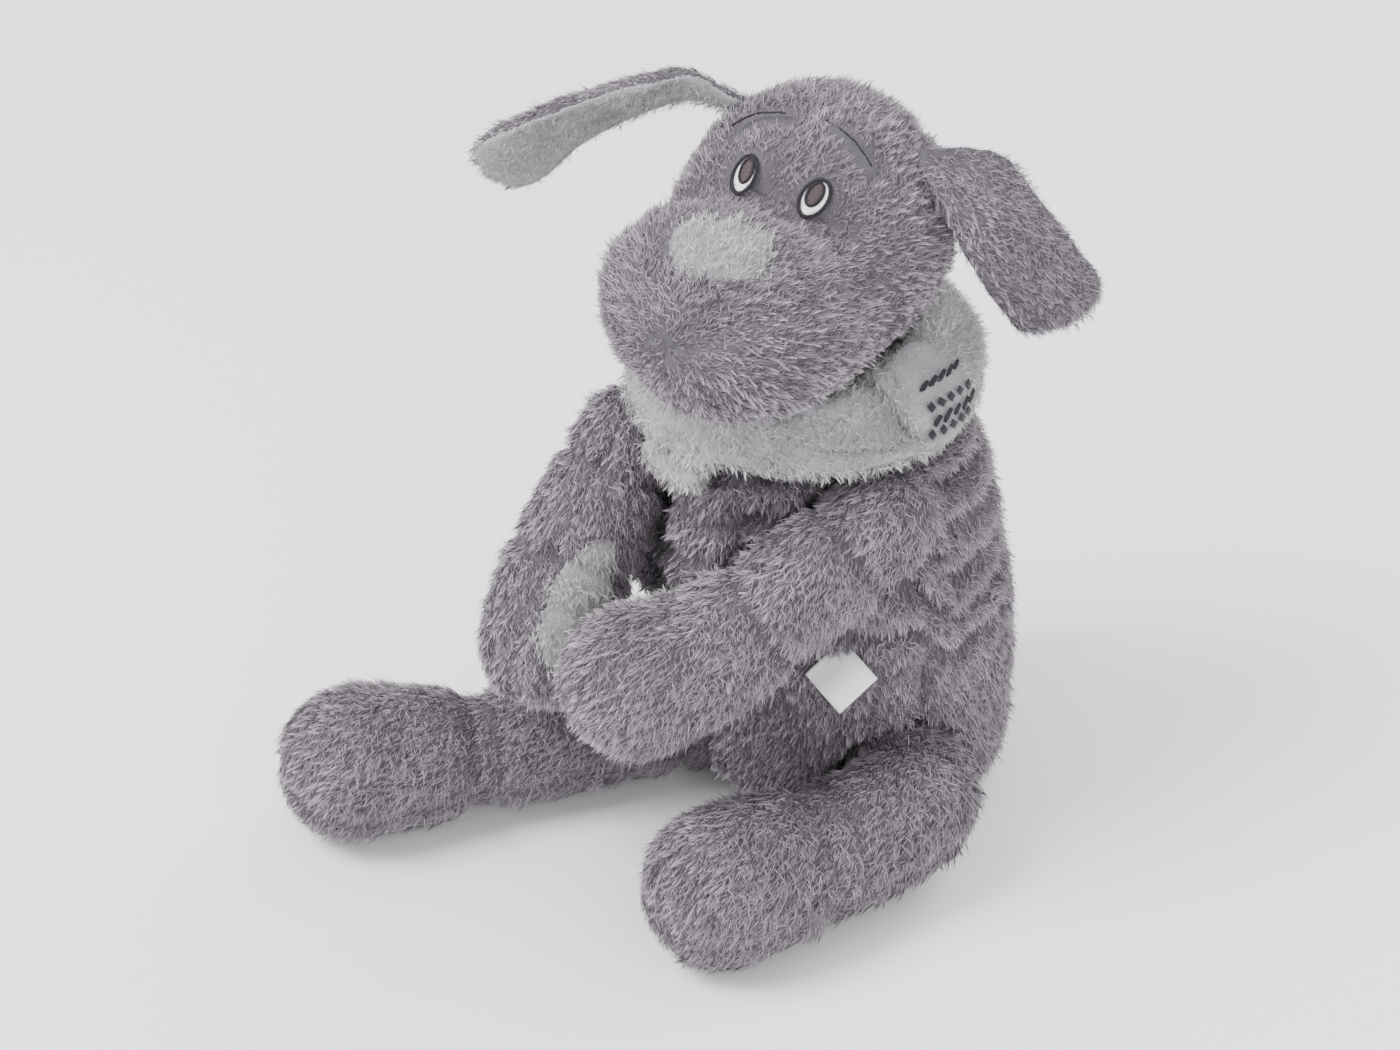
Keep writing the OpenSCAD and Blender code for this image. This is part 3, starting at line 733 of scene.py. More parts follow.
@dataclass
class SewnSkin:
    """The stuffed plush skin of one body: cast from its solids, shaped, and cut into its panels."""

    body: str
    panels: dict[str, Pile]
    inside: Sequence[str]
    nap: Callable[[Vector, Vector], Vector]
    relief: Callable[[Vector, Vector], float] = no_relief
    pile_at: Callable[[Vector], float] = full_pile
    cover_at: Callable[[Vector], float] = full_pile
    claim: Callable[[Vector], str | None] | None = None
    claimed: str = ""
    pole: Vector | None = None
    drift: Callable[[Vector, Vector], Vector] | None = None
    cloth_run: ClothRun | None = None
    voxel: float = 2.0 * MM
    inset: float = 1.2 * MM
    seam_depth: float = 1.8 * MM
    seam_width: float = 3.2 * MM
    cloth: float = 0.8 * MM
    fill: float = 0.85
    smooth: int = 6
    surface: BVHTree | None = None

    def polish(self, bm: bmesh.types.BMesh) -> None:
        """Close the small dent where the panels meet in a point."""
        if self.pole is None:
            return
        near = [v for v in bm.verts if (v.co - self.pole).length < 9 * MM]
        relax(bm, times=30, verts=near)

    def cast(self) -> bmesh.types.BMesh:
        """Take one closed outer form from the body's solids."""
        form = from_bmesh("form", cad_copy([*self.panels, *self.inside]))
        recast(form, self.voxel)
        bm = bmesh.new()
        bm.from_mesh(form.data)
        discard(form)
        shells = sorted(islands(bm), key=len)
        for shell in shells[:-1]:
            bmesh.ops.delete(bm, geom=shell, context="VERTS")
        relax(bm, times=self.smooth)
        self.polish(bm)
        bm.normal_update()
        return bm

    def flatten_hollows(self, bm: bmesh.types.BMesh, pile: bmesh.types.BMLayerItem) -> None:
        """Press the pile down where the skin is folded in.

        Args:
            bm: the shaped skin.
            pile: the layer that holds the pile's share of its length.
        """
        bm.normal_update()
        slow = bm.copy()
        relax(slow, times=10)
        for vert, level in zip(bm.verts, slow.verts):
            hollow = (level.co - vert.co).dot(vert.normal)
            vert[pile] *= 1 - 0.5 * smooth_step(0.15 * MM, 1.2 * MM, hollow)
        slow.free()

    def owner(self, point: Vector, near: list[tuple[float, int]]) -> int:
        """Say which panel a point of the skin belongs to.

        Args:
            point: the point.
            near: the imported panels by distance.

        Returns:
            The panel's number.
        """
        names = list(self.panels)
        wanted = self.claim(point) if self.claim else None
        if wanted:
            return names.index(wanted)
        return next(i for _, i in near if names[i] != self.claimed)

    def make(self) -> list[bpy.types.Object]:
        """Shape the skin, comb it, cut it into panels and grow their pile.

        Returns:
            One piece for each panel.
        """
        bm = self.cast()
        trees = [BVHTree.FromBMesh(cad_copy([node])) for node in self.panels]
        nap = bm.verts.layers.float_vector.new("nap")
        pile = bm.verts.layers.float.new("pile")
        cover = bm.verts.layers.float.new("cover")
        which: list[int] = []
        moved: list[Vector] = []
        for vert in bm.verts:
            near = sorted((tree.find_nearest(vert.co)[3], i) for i, tree in enumerate(trees))
            seam = 0.0
            if len(near) > 1:
                seam = math.exp(-(max(near[1][0] - near[0][0] * 0.5, 0) / self.seam_width) ** 2)
            which.append(self.owner(vert.co, near))
            normal = vert.normal.copy()
            push = self.relief(vert.co, normal) - self.inset - self.seam_depth * seam
            place = vert.co + normal * push
            moved.append(place + (self.drift(place, normal) if self.drift else Vector()))
            way = self.nap(vert.co, normal)
            way -= normal * way.dot(normal)
            vert[nap] = way.normalized() if way.length > 1e-6 else Vector((0, 0, -1))
            vert[pile] = self.pile_at(vert.co) * (1 - 0.35 * seam)
            vert[cover] = self.cover_at(vert.co)
        for vert, point in zip(bm.verts, moved):
            vert.co = point
        if self.cloth_run:
            self.cloth_run.settle(bm)
        relax(bm, 0.35, 2)
        self.surface = BVHTree.FromBMesh(bm)
        self.flatten_hollows(bm, pile)
        whole = bpy.data.meshes.new("whole")
        bm.to_mesh(whole)
        bm.free()
        pieces = []
        for index, (node, kind) in enumerate(self.panels.items()):
            pieces.append(self.cut(whole, which, index, node, kind))
        bpy.data.meshes.remove(whole)
        return pieces

    def cut(self, whole: bpy.types.Mesh, which: list[int], index: int, node: str,
            kind: Pile) -> bpy.types.Object:
        """Cut one panel out of the whole skin and finish it.

        Args:
            whole: the skin before it is cut.
            which: the panel that each vertex belongs to.
            index: this panel's number.
            node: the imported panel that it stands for.
            kind: its plush.

        Returns:
            The finished panel, its pile on it.
        """
        bm = bmesh.new()
        bm.from_mesh(whole)
        bm.verts.ensure_lookup_table()
        spare = []
        for face in bm.faces:
            votes = [which[v.index] for v in face.verts]
            if max(sorted(set(votes)), key=votes.count) != index:
                spare.append(face)
        bmesh.ops.delete(bm, geom=spare, context="FACES")
        piece = from_bmesh(node + "_skin", bm)
        fur = GROWER.grow(piece, kind)
        step = piece.modifiers.new("cloth", "SOLIDIFY")
        step.thickness = self.cloth
        step.offset = -1
        apply_modifiers(piece)
        drop_combing(piece.data)
        piece.data.materials.clear()
        piece.data.materials.append(kind.ground.material())
        with bpy.context.temp_override(active_object=piece, object=piece,
                                       selected_objects=[piece, fur],
                                       selected_editable_objects=[piece, fur]):
            bpy.ops.object.join()
        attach(piece, self.body)
        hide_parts(node)
        LOG.info("%s: %d faces on %s", piece.name, len(piece.data.polygons), self.body)
        return piece


@dataclass
class Stuffing:
    """The fibre filling of one body, drawn in so that the folds of the skin clear it."""

    node: str
    body: str
    draw_in: float = 5.0 * MM

    def make(self) -> bpy.types.Object:
        """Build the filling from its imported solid.

        Returns:
            The filling.
        """
        bm = cad_copy([self.node])
        bmesh.ops.dissolve_limit(bm, angle_limit=0.02, verts=bm.verts, edges=bm.edges)
        form = from_bmesh(self.node + "_fibre", bm)
        recast(form, 4 * MM)
        bm = bmesh.new()
        bm.from_mesh(form.data)
        bm.normal_update()
        moved = [vert.co - vert.normal * (self.draw_in + 0.8 * MM * noise.noise(vert.co * 120))
                 for vert in bm.verts]
        for vert, point in zip(bm.verts, moved):
            vert.co = point
        relax(bm)
        bm.to_mesh(form.data)
        bm.free()
        form.data.shade_smooth()
        form.data.materials.clear()
        form.data.materials.append(FIBREFILL.material())
        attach(form, self.body)
        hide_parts(self.node)
        return form


# ---------------------------------------------------------------- stitches
def thread_bar(bm: bmesh.types.BMesh, start: Vector, end: Vector, width: float, out: Vector) -> None:
    """Lay one thread between two points as a slender rounded bar.

    Args:
        bm: the bmesh that takes it.
        start: where the thread comes out of the cloth.
        end: where it goes back in.
        width: how wide the thread is.
        out: the side that it bulges towards.
    """
    along = end - start
    side = along.cross(out).normalized()
    up = side.cross(along).normalized()
    middle = (start + end) / 2
    turn = Matrix((side, up, along.normalized())).transposed().to_4x4()
    scale = Matrix.Diagonal((width / 2, width / 2.6, along.length / 2 + width * 0.3, 1))
    bmesh.ops.create_uvsphere(bm, u_segments=6, v_segments=6, radius=1,
                              matrix=Matrix.Translation(middle) @ turn @ scale)


def sew_on(bm: bmesh.types.BMesh, node: str, body: str, ending: str = "_thread",
           thread: SatinThread = DARK_THREAD) -> bpy.types.Object:
    """Turn finished stitches into a piece of the dog.

    Args:
        bm: the stitches.
        node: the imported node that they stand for.
        body: the body that they ride on.
        ending: what follows the node in the piece's name.
        thread: what they are sewn with.

    Returns:
        The piece.
    """
    piece = from_bmesh(node + ending, bm)
    piece.data.materials.append(thread.material())
    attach(piece, body)
    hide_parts(node)
    LOG.info("%s: %d faces on %s", piece.name, len(piece.data.polygons), body)
    return piece


@dataclass
class Embroidery:
    """One embroidered patch of the eye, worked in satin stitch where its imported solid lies."""

    node: str
    thread: SatinThread
    slot: str
    pitch: float = 0.42 * MM
    raise_by: float = 0.2 * MM

    def frame(self) -> tuple[Vector, Vector, Vector, Vector, float, float]:
        """Read the patch's centre, normal, long and short axes and half sizes from its solid."""
        mesh = frame["nodes"][self.node].data
        points = np.array([v.co for v in mesh.vertices])
        middle = (points.max(axis=0) + points.min(axis=0)) / 2
        _, axes = np.linalg.eigh(np.cov((points - points.mean(axis=0)).T))
        head = sum((Vector(c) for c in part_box("head_filling")), Vector()) / 2
        normal = Vector(axes[:, 0])
        if normal.dot(Vector(middle) - head) < 0:
            normal = -normal
        long_axis = Vector(axes[:, 2])
        if long_axis.z < 0:
            long_axis = -long_axis
        short_axis = long_axis.cross(normal).normalized()
        spans = [(points - middle) @ np.array(axis) for axis in (normal, long_axis, short_axis)]
        centre = Vector(middle) + sum(
            (axis * float(span.max() + span.min()) / 2
             for axis, span in zip((normal, long_axis, short_axis), spans)), Vector())
        half_t, half_l, half_s = (float(span.max() - span.min()) / 2 for span in spans)
        return centre + normal * half_t, normal, long_axis, short_axis, half_l, half_s

    def finish(self, bm: bmesh.types.BMesh) -> bpy.types.Object:
        """Dress the stitches and set them on the head."""
        return sew_on(bm, self.node, "head", "_stitches", self.thread)

    def fill_oval(self, hole: "Embroidery | None" = None) -> bpy.types.Object:
        """Fill the oval with side-by-side threads, leaving out another patch's oval.

        Args:
            hole: the patch whose oval stays empty.

        Returns:
            The stitched piece.
        """
        centre, normal, long_axis, short_axis, half_l, half_s = self.frame()
        bm = bmesh.new()
        rows = int(2 * half_l / self.pitch)
        gap = hole.frame() if hole else None
        for i in range(rows):
            t = -half_l + (i + 0.5) * 2 * half_l / rows
            reach = half_s * math.sqrt(max(1 - (t / half_l) ** 2, 0.0))
            spans = [(-reach, reach)]
            if gap:
                off = gap[0] - centre
                u = (t - off.dot(long_axis)) / gap[4]
                if abs(u) < 1:
                    cut = gap[5] * math.sqrt(1 - u * u)
                    mid = off.dot(short_axis)
                    spans = [(-reach, mid - cut), (mid + cut, reach)]
            for a, b in spans:
                if b - a < 0.3 * MM:
                    continue
                lift = normal * (self.raise_by + 0.05 * MM * (i % 2))
                base = centre + long_axis * t + lift
                sag = normal * (0.25 * MM)
                thread_bar(bm, base + short_axis * a - sag, base + short_axis * b - sag,
                           self.pitch * 1.25, normal)
        return self.finish(bm)

    def ring(self, inner_rim: "Embroidery", count: int = 52,
             thick: float = 1.1 * MM) -> bpy.types.Object:
        """Work the oval's rim and a finer line round the pupil in short slanted stitches.

        Args:
            inner_rim: the patch that the finer line goes round.
            count: how many stitches go round.
            thick: how wide the rim is.

        Returns:
            The stitched piece.
        """
        bm = bmesh.new()
        for patch, wide, lift in ((self, thick, self.raise_by), (inner_rim, 0.6 * MM, 0.5 * MM)):
            centre, normal, long_axis, short_axis, half_l, half_s = patch.frame()
            half_l, half_s = half_l + wide * 0.35, half_s + wide * 0.35
            for i in range(count):
                a = 2 * math.pi * i / count
                b = a + 0.16
                outer = (centre + long_axis * math.cos(a) * half_l
                         + short_axis * math.sin(a) * half_s + normal * lift * 0.4)
                inner = (centre + long_axis * math.cos(b) * (half_l - wide)
                         + short_axis * math.sin(b) * (half_s - wide) + normal * lift)
                thread_bar(bm, outer, inner, 0.6 * MM, normal)
        return self.finish(bm)


@dataclass
class StitchGroup:
    """Separate stitches that each follow one solid of a packed group."""

    node: str
    body: str
    width: float = 0.7 * MM

    def make(self, out_from: Vector) -> bpy.types.Object:
        """Lay one thread along every solid of the group.

        Args:
            out_from: a point inside, from which the stitches bulge away.

        Returns:
            The stitches as one piece.
        """
        source = cad_copy([self.node])
        bm = bmesh.new()
        for shell in islands(source):
            centre = sum((v.co for v in shell), Vector()) / len(shell)
            edges = sorted({e for v in shell for e in v.link_edges},
                           key=lambda e: e.calc_length())
            box_edges = [e for e in edges if len(e.link_faces) == 2
                         and abs(e.calc_face_angle(0)) > 0.5]
            long_edge = max(box_edges, key=lambda e: e.calc_length())
            along = long_edge.verts[1].co - long_edge.verts[0].co
            out = centre - out_from
            side = along.cross(out).normalized()
            bend = 0.12 * MM * noise.noise(centre * 900)
            thread_bar(bm, centre - along / 2, centre + along / 2 + side * bend,
                       self.width * 1.1, out)
        source.free()
        return sew_on(bm, self.node, self.body)


# ---------------------------------------------------------------- the dog
class Side(Enum):
    """The dog's own left and right."""

    LEFT = "left"
    RIGHT = "right"


def centre_of(node: str) -> Vector:
    """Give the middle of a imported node's box."""
    low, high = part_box(node)
    return (Vector(low) + Vector(high)) / 2


@dataclass
class Torso:
    """The seated body: belly, back and seat panels over the filling and the pellet bag."""

    fold_pitch: float = 15.5 * MM
    fold_depth: float = 9.5 * MM
    bulge: float = 8 * MM
    back_ease: float = 0.5

    def __post_init__(self) -> None:
        """Read where the arms lie against the body."""
        self.arms = BVHTree.FromBMesh(cad_copy([
            "arm_outer_left", "arm_inner_left", "palm_pad_left",
            "arm_outer_right", "arm_inner_right", "palm_pad_right"]))
        self.label = centre_of("side_label")

    def crease(self, point: Vector, normal: Vector) -> float:
        """Give the folds' height from -1 in a crease to 0 on a roll."""
        front = smooth_step(0.2, 0.7, -normal.y)
        pitch = self.fold_pitch * (1 + 0.25 * front)
        warp = 11 * MM * noise.noise(point * 15) + 3 * MM * noise.noise(point * 45)
        rise = 0.22 * (point.y + 0.03) * (1 - front)
        wave = abs(math.sin(math.pi * (point.z + warp - rise) / pitch)) ** 1.1
        band = smooth_step(0.07, 0.1, point.z) * (1 - smooth_step(0.158, 0.17, point.z))
        patch = min(max(0.85 + 0.9 * noise.noise(point * 26 + Vector((4, 1, 7))), 0), 1.1)
        level = 1 - smooth_step(0.65, 0.92, abs(normal.z))
        back = 1 - self.back_ease * smooth_step(0.2, 0.8, normal.y)
        return (wave - 1) * band * patch * level * back

    def folds(self, point: Vector, normal: Vector) -> float:
        """Roll the slack plush into soft level folds and swell it between the arms."""
        flank = -0.5 if normal.x < 0 else 0.15
        belly = smooth_step(flank, flank + 0.5, -normal.y) * smooth_step(0.06, 0.1, point.z)
        hit = self.arms.ray_cast(point + normal * 1 * MM, normal, 0.05)[3]
        room = self.bulge * (1.9 if normal.x < 0 else 0.9)
        swell = room if hit is None else min(max(hit - 6 * MM, 0) * 0.7, room)
        lumps = 1.3 * MM * noise.noise(point * 36)
        rolls = self.fold_depth * self.crease(point, normal)
        clear = smooth_step(10 * MM, 26 * MM, (point - self.label).length)
        return rolls + lumps + swell * belly * clear * (1 - smooth_step(0.145, 0.165, point.z))

    def held(self, point: Vector, normal: Vector) -> float:
        """Hold the body in its creases, at the seat, under the scarf and at the limbs."""
        crease = smooth_step(0.3, 0.7, -self.crease(point, normal))
        ends = max(1 - smooth_step(0.06, 0.085, point.z), smooth_step(0.155, 0.17, point.z))
        near = self.arms.find_nearest(point)[3]
        return max(crease, ends, 1 - smooth_step(2 * MM, 9 * MM, near), 0.12)

    def nap(self, point: Vector, normal: Vector) -> Vector:
        """Comb the body downwards, a little towards the back."""
        return Vector((0.3 * noise.noise(point * 16), 0.25, -1.0))

    def make(self) -> None:
        """Build the body's skins, filling and bag."""
        SewnSkin("torso",
                 heather("belly_panel", "back_panel_left", "back_panel_right", "seat_panel",
                         "neck_closing_disc"),
                 ["torso_filling", "seat_pellet_bag"], self.nap, self.folds,
                 lambda p: 0.35 + 0.65 * smooth_step(0.002, 0.02, p.z),
                 cover_at=lambda p: 0.35 + 0.65 * smooth_step(0.0, 0.006, p.z),
                 voxel=2.2 * MM, cloth_run=ClothRun(self.held)).make()
        Stuffing("torso_filling", "torso", 8 * MM).make()


@dataclass
class Head:
    """The head: skull gusset, sides, big muzzle, chin and the pale nose patch."""

    def __post_init__(self) -> None:
        """Read where the muzzle ends and where the eyes lie."""
        low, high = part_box("muzzle_top")
        cheeks = [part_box(n) for n in ("muzzle_cheek_left", "muzzle_cheek_right")]
        tip = min(c[0][1] for c in cheeks)
        mid_x = (low[0] + high[0]) / 2 + 4 * MM
        self.whorl = Vector((mid_x, tip, (low[2] + cheeks[0][0][2]) / 2 + 18 * MM))
        self.eyes = [centre_of("eye_outline_left"), centre_of("eye_outline_right")]
        self.nose = centre_of("nose_pad") + Vector((5.3, -1.8, -0.4)) * MM
        self.brows = BVHTree.FromBMesh(cad_copy(["brow_stitches"]))

    def nap(self, point: Vector, normal: Vector) -> Vector:
        """Comb the head away from the whorl at the tip of the muzzle."""
        return point - self.whorl

    def relief(self, point: Vector, normal: Vector) -> float:
        """Fill the face out behind the eyes and let the stuffing show as slow lumps."""
        near = min((point - eye).length for eye in self.eyes)
        behind = 2.3 * MM * (1 - smooth_step(5 * MM, 10 * MM, near))
        return behind + 0.9 * MM * noise.noise(point * 32)

    def pile_at(self, point: Vector) -> float:
        """Shear the pile under the embroidered eyes and brows."""
        near = min((point - eye).length for eye in self.eyes)
        brow = self.brows.find_nearest(point)[3]
        forehead = 0.72 + 0.28 * smooth_step(10 * MM, 24 * MM, near)
        return min(0.14 + 0.76 * smooth_step(6 * MM, 10 * MM, near),
                   0.08 + 0.82 * smooth_step(1.6 * MM, 4.5 * MM, brow), forehead) + 0.08

    def on_nose(self, point: Vector) -> str | None:
        """Give the nose patch its rounded outline, turned a little to the dog's left."""
        away = point - self.nose
        across = abs(away.dot(SEEN_RIGHT)) / (16 * MM)
        up = abs(away.dot(SEEN_UP)) / (10.4 * MM)
        edge = 1 + 0.08 * noise.noise(point * 140)
        return "nose_pad" if away.z > -14 * MM and across ** 2.8 + up ** 2.8 < edge else None

    def make(self) -> None:
        """Build the head's skins, filling, eyes and brows."""
        SewnSkin("head",
                 heather("head_gusset", "head_side_left", "head_side_right", "muzzle_top",
                         "muzzle_cheek_left", "muzzle_cheek_right", "chin_panel")
                 | {"nose_pad": NOSE_PALE},
                 ["head_filling"], self.nap, self.relief, self.pile_at, claim=self.on_nose,
                 claimed="nose_pad", pole=self.whorl, voxel=2.0 * MM, seam_depth=0.9 * MM).make()
        Stuffing("head_filling", "head", 6 * MM).make()
        Brows().make(centre_of("head_filling"))
        for side in Side:
            pupil = Embroidery("pupil_" + side.value, BROWN_THREAD, "brown_thread",
                               raise_by=0.35 * MM)
            white = Embroidery("eye_white_" + side.value, WHITE_THREAD, "white_thread")
            white.fill_oval(pupil)
            pupil.fill_oval()
            Embroidery("eye_outline_" + side.value, DARK_THREAD, "dark_thread",
                       raise_by=0.3 * MM).ring(pupil)


@dataclass
class Neck:
    """The soft neck between the body and the head."""

    def make(self) -> None:
        """Build the neck's skin and filling."""
        SewnSkin("neck", {"neck_skin": LONG_HEATHER}, ["neck_filling"],
                 lambda p, n: Vector((0, 0, -1)), pile_at=lambda p: 0.3, voxel=1.6 * MM).make()
        Stuffing("neck_filling", "neck", 1.5 * MM).make()


@dataclass
class Ear:
    """A long floppy ear: dark plush outside, pale plush inside."""

    side: Side
    pull: float = 6.5 * MM
    cup: float = 5 * MM
    turn: float = 9.0
    sag: dict[Side, tuple[float, float, float]] = field(default_factory=lambda: {
        Side.LEFT: (-2.3, -5.3, -5.1), Side.RIGHT: (0, 0, 0)})

    def __post_init__(self) -> None:
        """Read the ear's root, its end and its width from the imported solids."""
        self.outer, self.lining = "ear_outer_" + self.side.value, "ear_lining_" + self.side.value
        mesh = frame["nodes"][self.outer].data
        points = np.array([v.co for v in mesh.vertices])
        head = centre_of("head_filling") + Vector((0, 0.02, 0.01))
        self.root = Vector(points[np.argmin(np.linalg.norm(points - np.array(head), axis=1))])
        self.end = Vector(points[np.argmax(np.linalg.norm(points - np.array(self.root), axis=1))])
        self.axis = (self.end - self.root).normalized()
        _, axes = np.linalg.eigh(np.cov((points - points.mean(axis=0)).T))
        self.face = Vector(axes[:, 0])
        if self.face.z < 0:
            self.face = -self.face
        self.wide = self.axis.cross(self.face).normalized()
        self.inward = (head - self.root).normalized()
        self.mid = Vector(points.mean(axis=0))
        tilted = Matrix.Rotation(0.1, 3, self.axis) @ self.face
        sign = 1 if tilted @ SEEN_FROM > self.face @ SEEN_FROM else -1
        if self.side is Side.RIGHT:
            sign = 0.35 * sign
        self.turned = math.radians(self.turn) * sign

    def shape(self, point: Vector, normal: Vector) -> Vector:
        """Draw the root in to the head's seam and cup the ear along its length."""
        along = (point - self.root).dot(self.axis)
        near = 1 - smooth_step(0.0, 22 * MM, along)
        off = (point - self.mid).dot(self.wide)
        cup = self.cup * (min(abs(off) / (15 * MM), 1.2) ** 2 - 0.3)
        cup *= smooth_step(4 * MM, 24 * MM, along)
        pleat = self.face * 2.2 * MM * math.sin(off / (4.2 * MM)) * near
        place = point + pleat - self.face * cup
        share = smooth_step(2 * MM, 26 * MM, along)
        line = self.mid + self.axis * (place - self.mid).dot(self.axis)
        place = line + Matrix.Rotation(self.turned * share, 3, self.axis) @ (place - line)
        run = min(max(along / (self.end - self.root).dot(self.axis), 0), 1)
        hang = Vector(self.sag[self.side]) * MM * math.sin(math.pi * run)
        return place - point + self.inward * self.pull * near + hang

    def ripple(self, point: Vector, normal: Vector) -> float:
        """Crease the ear softly along its length."""
        return 1.1 * MM * noise.noise(point * 60)

    def make(self) -> None:
        """Build the ear's two layers."""
        SewnSkin("ear_" + self.side.value, {self.outer: LONG_HEATHER, self.lining: SHORT_PALE}, [],
                 lambda p, n: self.axis.copy(), self.ripple, pile_at=lambda p: 0.8,
                 drift=self.shape, voxel=1.5 * MM, inset=0.6 * MM, seam_depth=0.4 * MM,
                 seam_width=1.6 * MM, fill=0.3).make()


@dataclass
class Limb:
    """A stuffed arm or leg that follows a bent line from its joint to its end."""

    body: str
    panels: dict[str, Pile]
    filling: str
    line: list[tuple[float, float, float]]
    inside: Sequence[str] = ()
    crease_at: Sequence[float] = ()
    comb: float = 0.8
    pad: str = ""
    pad_way: tuple[float, float, float] = (0, 0, 1)
    pad_span: tuple[float, float] = (0.5, 1.05)
    pad_turn: float = 0.6

    def __post_init__(self) -> None:
        """Turn the middle line into points in metres."""
        self.points = [Vector(p) * MM for p in self.line]
        self.total = sum((b - a).length for a, b in zip(self.points, self.points[1:]))

    def on_pad(self, point: Vector) -> str | None:
        """Give the pad in the palm its long oval outline."""
        if not self.pad:
            return None
        share, way = self.along(point)
        share += max((point - self.points[-1]).dot(way), 0.0) / self.total
        foot = min((a + (b - a) * t / 8 for a, b in zip(self.points, self.points[1:])
                    for t in range(9)), key=lambda q: (point - q).length)
        turn = (point - foot).angle(Vector(self.pad_way))
        low, high = self.pad_span
        run = abs(share - (low + high) / 2) / ((high - low) / 2)
        edge = 1 + 0.1 * noise.noise(point * 120)
        return self.pad if (turn / self.pad_turn) ** 2.4 + run ** 2.4 < edge else None

    def along(self, point: Vector) -> tuple[float, Vector]:
        """Find how far along the line a point lies, and the line's direction there.

        Args:
            point: a point on the skin.

        Returns:
            The share of the length, and the direction.
        """
        best = (1e9, 0.0, Vector((0, 0, -1)))
        run = 0.0
        for a, b in zip(self.points, self.points[1:]):
            step = b - a
            t = min(max((point - a).dot(step) / step.length_squared, 0.0), 1.0)
            gap = (point - a - step * t).length
            if gap < best[0]:
                best = (gap, (run + step.length * t) / self.total, step.normalized())
            run += step.length
        return best[1], best[2]

    def nap(self, point: Vector, normal: Vector) -> Vector:
        """Comb the limb towards its end and a little downwards."""
        return self.along(point)[1] * self.comb + Vector((0.25, 0.15, -0.6))

    def relief(self, point: Vector, normal: Vector) -> float:
        """Pinch the limb at its creases and let the stuffing lump a little."""
        share = self.along(point)[0] + 0.02 * noise.noise(point * 45)
        pinch = sum(math.exp(-((share - c) / 0.035) ** 2) for c in self.crease_at)
        return -3.2 * MM * pinch + 1.3 * MM * noise.noise(point * 34)

    def make(self) -> None:
        """Build the limb's skins and filling."""
        SewnSkin(self.body, self.panels, [self.filling, *self.inside], self.nap, self.relief,
                 claim=self.on_pad, claimed=self.pad, voxel=2.0 * MM).make()
        Stuffing(self.filling, self.body, 5.5 * MM).make()


@dataclass
class Scarf:
    """A thick pale plush scarf: lower band, front fold, back roll and a hanging corner."""

    reach: float = 13 * MM
    clear: float = 2.2 * MM
    wrinkle: float = 10 * MM

    def __post_init__(self) -> None:
        """Read what the soft scarf is squeezed between."""
        self.head = BVHTree.FromBMesh(cad_copy([
            "head_gusset", "head_side_left", "head_side_right", "muzzle_top",
            "muzzle_cheek_left", "muzzle_cheek_right", "chin_panel"]))
        self.body = BVHTree.FromBMesh(cad_copy([
            "belly_panel", "back_panel_left", "back_panel_right", "neck_closing_disc"]))
        self.middle = centre_of("scarf_band")
        self.patch = centre_of("scarf_patch_stitches") + Vector((0, 0, PATCH_RAISED))

    def hug(self, point: Vector, normal: Vector) -> Vector:
        """Draw the scarf's upper side up to the jaw that rests on it.

        Args:
            point: a point on the scarf.
            normal: its outward direction.

        Returns:
            How far the point moves.
        """
        at = math.atan2(point.x - self.middle.x, self.middle.y - point.y)
        wave = Vector((0, 0, 1.3 * MM * math.sin(3 * at + 0.6) + 0.8 * MM * math.sin(7 * at)))
        jaw, _, _, gap = self.head.find_nearest(point)
        way = (jaw - point).normalized()
        share = smooth_step(-0.25, 0.55, normal.dot(way)) * (1 - smooth_step(22 * MM, 36 * MM, gap))
        return wave + way * min(max(gap - self.clear, 0), self.reach) * share

    def relief(self, point: Vector, normal: Vector) -> float:
        """Crease the folded cloth in long level wrinkles and rest it on the body."""
        hit = self.body.ray_cast(point + normal * 0.2 * MM, normal, 20 * MM)[3]
        rest = 1.2 * MM if hit is None else min(max(hit - 1.5 * MM, 0) * 0.7, 7 * MM)
        at = math.atan2(point.x - self.middle.x, self.middle.y - point.y)
        level = point.z + 6 * MM * math.sin(1.3 * at + 0.5) + 2.5 * MM * noise.noise(point * 30)
        crease = 1 - abs(math.sin(math.pi * level / self.wrinkle)) ** 0.9
        flat = smooth_step(10 * MM, 17 * MM, (point - self.patch).length)
        return rest - 5 * MM * crease * flat + 1.2 * MM * noise.noise(point * 42) * flat

    def pile_at(self, point: Vector) -> float:
        """Shear the pile under the stitched patch."""
        return 0.35 + 0.65 * smooth_step(11 * MM, 16 * MM, (point - self.patch).length)

    def nap(self, point: Vector, normal: Vector) -> Vector:
        """Comb the scarf down and round towards its left."""
        away = point - self.middle
        return Vector((-away.y, away.x, 0)).normalized() * 0.5 + Vector((0, 0, -1))

    def make(self) -> None:
        """Build the scarf's parts and its stitched patch."""
        nodes = ["scarf_band", "scarf_front_fold", "scarf_back_roll", "scarf_front_point"]
        skin = SewnSkin("torso", {node: SHORT_PALE for node in nodes}, [], self.nap, self.relief,
                        self.pile_at, drift=self.hug, voxel=1.6 * MM, inset=0.0,
                        seam_depth=1.2 * MM, seam_width=1.5 * MM, smooth=8, fill=0.5)
        skin.make()
        Patch().make(self.middle, skin.surface)


